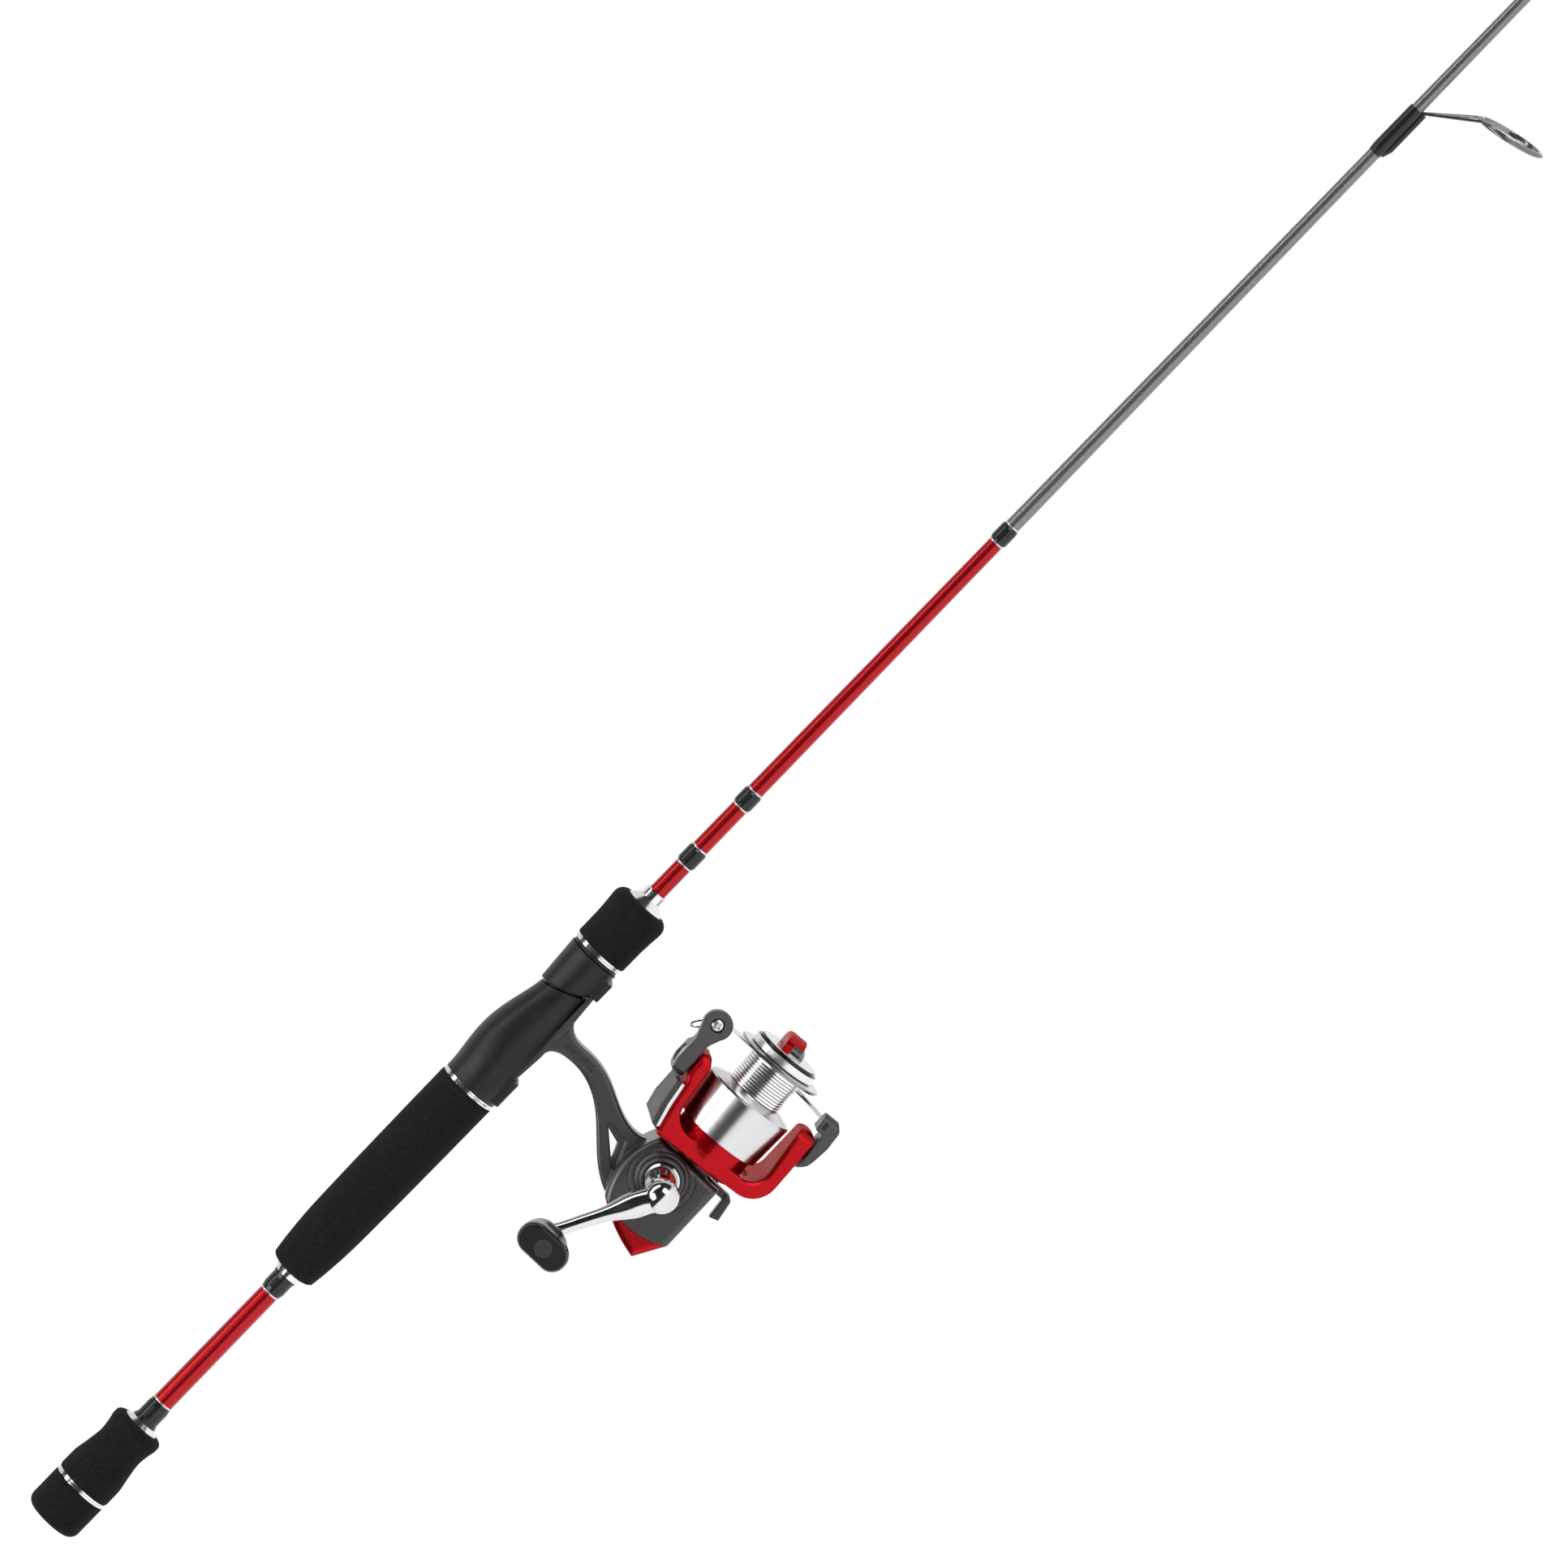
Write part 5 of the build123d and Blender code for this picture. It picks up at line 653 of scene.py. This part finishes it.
# %% Roller screw
ROLLER_S = 51.5
ROLLER_UP = 31.0
SCREW_BACK = -5.0
HEAD_FLOOR = 4.2
HEAD_RIM = 5.2
HEAD_CROWN = 0.6
SHANK_R = 1.4
HEAD_R = 2.3
RECESS_DEPTH = 0.8
RECESS_HALF = 0.34
RECESS_REACH = 1.45
RECESS_SIDE_SOFT = 0.08
RECESS_END_SOFT = 0.15
RECESS_TURN = math.radians(28)
SCREW_STEPS = 96
CROWN_STEPS = 37


def soft_step(value, edge, soft):
    """1 well below an edge and 0 well above it."""
    t = min(max((edge + soft - value) / (2 * soft), 0), 1)
    return t * t * (3 - 2 * t)


def recess(x, y):
    """How far down the cross is pressed at a point of the head, from 0 to 1."""
    long_x = soft_step(abs(x), RECESS_REACH, RECESS_END_SOFT)
    long_y = soft_step(abs(y), RECESS_REACH, RECESS_END_SOFT)
    arm_x = soft_step(abs(y), RECESS_HALF, RECESS_SIDE_SOFT) * long_x
    arm_y = soft_step(abs(x), RECESS_HALF, RECESS_SIDE_SOFT) * long_y
    return max(arm_x, arm_y)


screw = bmesh.new()
screw_rings = []
screw_profile = [(SHANK_R, SCREW_BACK), (SHANK_R, HEAD_FLOOR), (HEAD_R, HEAD_FLOOR), (HEAD_R, HEAD_RIM)]
for step in range(1, CROWN_STEPS):
    r = HEAD_R * (1 - step / CROWN_STEPS)
    screw_profile.append((r, HEAD_RIM + HEAD_CROWN * (1 - (r / HEAD_R) ** 2)))
for r, near in screw_profile:
    ring = []
    for step in range(SCREW_STEPS):
        turn = 2 * math.pi * step / SCREW_STEPS
        x = r * math.cos(turn + RECESS_TURN)
        y = r * math.sin(turn + RECESS_TURN)
        drop = RECESS_DEPTH * recess(x, y) if near > HEAD_RIM else 0
        place = rotor_point(ROLLER_S + r * math.cos(turn), ROLLER_UP + r * math.sin(turn), near - drop)
        ring.append(screw.verts.new(place))
    screw_rings.append(ring)
joined_rings(screw, screw_rings)
add_piece("roller_screw_cross", screw, steel.material, "bail", "roller_screw")
print("screw made")

# %% [markdown]
# Behind the arm's round end the wire makes a small open curl, which catches the line and drops it on the
# roller. It is a thin tube swept along part of an ellipse, and both its ends run into the wire's base.

# %% Wire curl
CURL_R = 0.45
CURL_S = 46.06
CURL_UP = 34.06
CURL_LONG = 4.0
CURL_SHORT = 1.3
CURL_NEAR = -7.5
CURL_LIFT = 1.7
CURL_SWEEP = math.radians(150)
LIFT_START = math.radians(80)
CURL_HALF_STEPS = 24
CURL_LAPS = 16
SLANT = math.sqrt(0.5)
curl = bmesh.new()
curl_rings = []
for step in range(2 * CURL_HALF_STEPS + 1):
    turn = CURL_SWEEP * (step / CURL_HALF_STEPS - 1)
    reach = CURL_LONG * math.cos(turn)
    side = CURL_SHORT * math.sin(turn)
    lift = max(abs(turn) - LIFT_START, 0) / (CURL_SWEEP - LIFT_START)
    curl_s = CURL_S + SLANT * (side - reach)
    curl_up = CURL_UP + SLANT * (side + reach)
    centre = rotor_point(curl_s, curl_up, CURL_NEAR + CURL_LIFT * lift**2)
    ahead = (reel_along - rotor_up) * CURL_LONG * math.sin(turn)
    ahead += (reel_along + rotor_up) * CURL_SHORT * math.cos(turn)
    across = ahead.normalized().cross(rotor_near)
    ring = []
    for lap in range(CURL_LAPS):
        angle = 2 * math.pi * lap / CURL_LAPS
        spoke = across * math.cos(angle) + rotor_near * math.sin(angle)
        ring.append(curl.verts.new(centre + spoke * CURL_R * MM))
    curl_rings.append(ring)
joined_rings(curl, curl_rings)
add_piece("wire_curl", curl, chrome.material, "bail")
print("curl made")

# %% [markdown]
# The picture is taken from a long way off through a long lens, from the handle's side, a little in front
# and a little above. The camera is rolled so that the rod runs from corner to corner.

# %% Camera
VIEW_AZIMUTH = math.radians(7.0)
VIEW_ELEVATION = math.radians(7.0)
ROD_SLOPE = math.radians(45.87)
FRAME_WIDTH = 632.1
CAMERA_DISTANCE = 9.0
AIM = Vector((424.3, 0, -6.0)) * MM
look = Vector((
    -math.sin(VIEW_AZIMUTH) * math.cos(VIEW_ELEVATION),
    math.cos(VIEW_AZIMUTH) * math.cos(VIEW_ELEVATION),
    -math.sin(VIEW_ELEVATION),
))
level = Vector((math.cos(VIEW_AZIMUTH), math.sin(VIEW_AZIMUTH), 0))
upright = level.cross(look)
roll = ROD_SLOPE - math.atan2(upright.x, level.x)
right = level * math.cos(roll) - upright * math.sin(roll)
up = level * math.sin(roll) + upright * math.cos(roll)
lens = bpy.data.cameras.new("camera")
lens.sensor_width = 36.0
lens.lens = lens.sensor_width * CAMERA_DISTANCE / (FRAME_WIDTH * MM)
lens.clip_end = 200
camera = bpy.data.objects.new("camera", lens)
bpy.context.scene.collection.objects.link(camera)
turn_matrix = Matrix((right, up, -look)).transposed().to_4x4()
camera.matrix_world = Matrix.Translation(AIM - look * CAMERA_DISTANCE) @ turn_matrix
bpy.context.scene.camera = camera
print("lens", round(lens.lens, 1), "mm, roll", round(math.degrees(roll), 2))

# %% [markdown]
# The stage is a wide white floor well below the rod. It shows white to the lens and in reflections, and
# still takes the shadow. Dark flags will stand round the near side, as in a studio, to give chrome and paint
# something to reflect besides white.

# %% Floor
FLOOR_Z = -0.62
FLOOR_HALF = 60.0


def flat_card(name, corners, material):
    """A stage plane from four corners."""
    mesh = bpy.data.meshes.new(name)
    mesh.from_pydata(corners, [], [(0, 1, 2, 3)])
    mesh.materials.append(material)
    card = bpy.data.objects.new(name, mesh)
    bpy.context.scene.collection.objects.link(card)
    return card


def seen_directly(tree):
    """1 for rays from the lens, off metal or through glass, else 0."""
    path = tree.nodes.new("ShaderNodeLightPath")
    either = tree.nodes.new("ShaderNodeMath")
    either.operation = "MAXIMUM"
    tree.links.new(path.outputs["Is Camera Ray"], either.inputs[0])
    tree.links.new(path.outputs["Is Glossy Ray"], either.inputs[1])
    any_ray = tree.nodes.new("ShaderNodeMath")
    any_ray.operation = "MAXIMUM"
    tree.links.new(either.outputs["Value"], any_ray.inputs[0])
    tree.links.new(path.outputs["Is Transmission Ray"], any_ray.inputs[1])
    return any_ray.outputs["Value"]


FLOOR_GLOW = 0.66
floor_finish = Finish("floor_white", Base_Color=(0.82, 0.82, 0.82, 1), Roughness=0.9)
floor_finish.shader.inputs["Emission Color"].default_value = (1, 1, 1, 1)
glow = floor_finish.node("ShaderNodeMath", operation="MULTIPLY")
floor_finish.link(seen_directly(floor_finish.tree), glow.inputs[0])
glow.inputs[1].default_value = FLOOR_GLOW
floor_finish.link(glow.outputs["Value"], floor_finish.shader.inputs["Emission Strength"])
floor_corners = [(-FLOOR_HALF, -FLOOR_HALF, FLOOR_Z), (FLOOR_HALF, -FLOOR_HALF, FLOOR_Z)]
floor_corners += [(FLOOR_HALF, FLOOR_HALF, FLOOR_Z), (-FLOOR_HALF, FLOOR_HALF, FLOOR_Z)]
flat_card("floor", floor_corners, floor_finish.material)
print("floor ready")

# %% [markdown]
# The flags make an open box: one on the camera's side, one at each end and one overhead. They are dark and
# dull, and the lens looks straight through them, so only reflections and shade show that they are there.

# %% Dark flags
FLAG_LEFT = -4
FLAG_RIGHT = 5
FLAG_NEAR = -5
FLAG_FAR = 1.5
FLAG_LOW = -0.6
FLAG_HIGH = 5
near_left = (FLAG_LEFT, FLAG_NEAR)
near_right = (FLAG_RIGHT, FLAG_NEAR)
far_left = (FLAG_LEFT, FLAG_FAR)
far_right = (FLAG_RIGHT, FLAG_FAR)


def standing(start, end):
    """The corners of a flag that stands between two points of the floor."""
    return [(*start, FLAG_LOW), (*end, FLAG_LOW), (*end, FLAG_HIGH), (*start, FLAG_HIGH)]


flag_finish = Finish("dark_flag", Base_Color=(0.08, 0.08, 0.08, 1), Roughness=1.0)
flags = {
    "near_flag": standing(near_left, near_right),
    "left_flag": standing(near_left, far_left),
    "right_flag": standing(near_right, far_right),
    "top_flag": [(*corner, FLAG_HIGH) for corner in (near_left, near_right, far_right, far_left)],
}
for flag_name, flag_corners in flags.items():
    flag = flat_card(flag_name, flag_corners, flag_finish.material)
    flag.visible_camera = False
print("flags", len(flags))

# %% [markdown]
# Three large soft lamps: a key high on the left, a weaker fill from the right and a strip overhead that
# draws a bright line along the rod. The world adds an even, dim fill and is white to the lens.

# %% Lamps and world


def soft_lamp(name, place, target, size, power):
    """An oblong area lamp that looks at a point."""
    lamp_data = bpy.data.lights.new(name, "AREA")
    lamp_data.shape = "RECTANGLE"
    lamp_data.size = size[0]
    lamp_data.size_y = size[1]
    lamp_data.energy = power
    lamp = bpy.data.objects.new(name, lamp_data)
    lamp.location = place
    lamp.rotation_euler = (Vector(target) - Vector(place)).to_track_quat("-Z", "Y").to_euler()
    bpy.context.scene.collection.objects.link(lamp)
    return lamp


WORLD_FILL = 0.45
WORLD_WHITE = 1.0
soft_lamp("key_lamp", (-1.8, -2.2, 2.2), (0.35, 0, -0.03), (2.2, 2.2), 95)
soft_lamp("fill_lamp", (2.8, -2.2, 0.4), (0.4, 0, -0.05), (1.6, 1.6), 42)
soft_lamp("top_lamp", (0.45, -0.6, 1.9), (0.45, 0, 0), (3.0, 0.5), 20)
world = bpy.data.worlds.new("studio")
bpy.context.scene.world = world
world.use_nodes = True
sky = world.node_tree.nodes["Background"]
sky.inputs["Color"].default_value = (1, 1, 1, 1)
sky_level = world.node_tree.nodes.new("ShaderNodeMapRange")
world.node_tree.links.new(seen_directly(world.node_tree), sky_level.inputs["Value"])
sky_level.inputs["To Min"].default_value = WORLD_FILL
sky_level.inputs["To Max"].default_value = WORLD_WHITE
world.node_tree.links.new(sky_level.outputs["Result"], sky.inputs["Strength"])
bpy.context.scene.view_settings.view_transform = "Standard"
print("lamps ready")
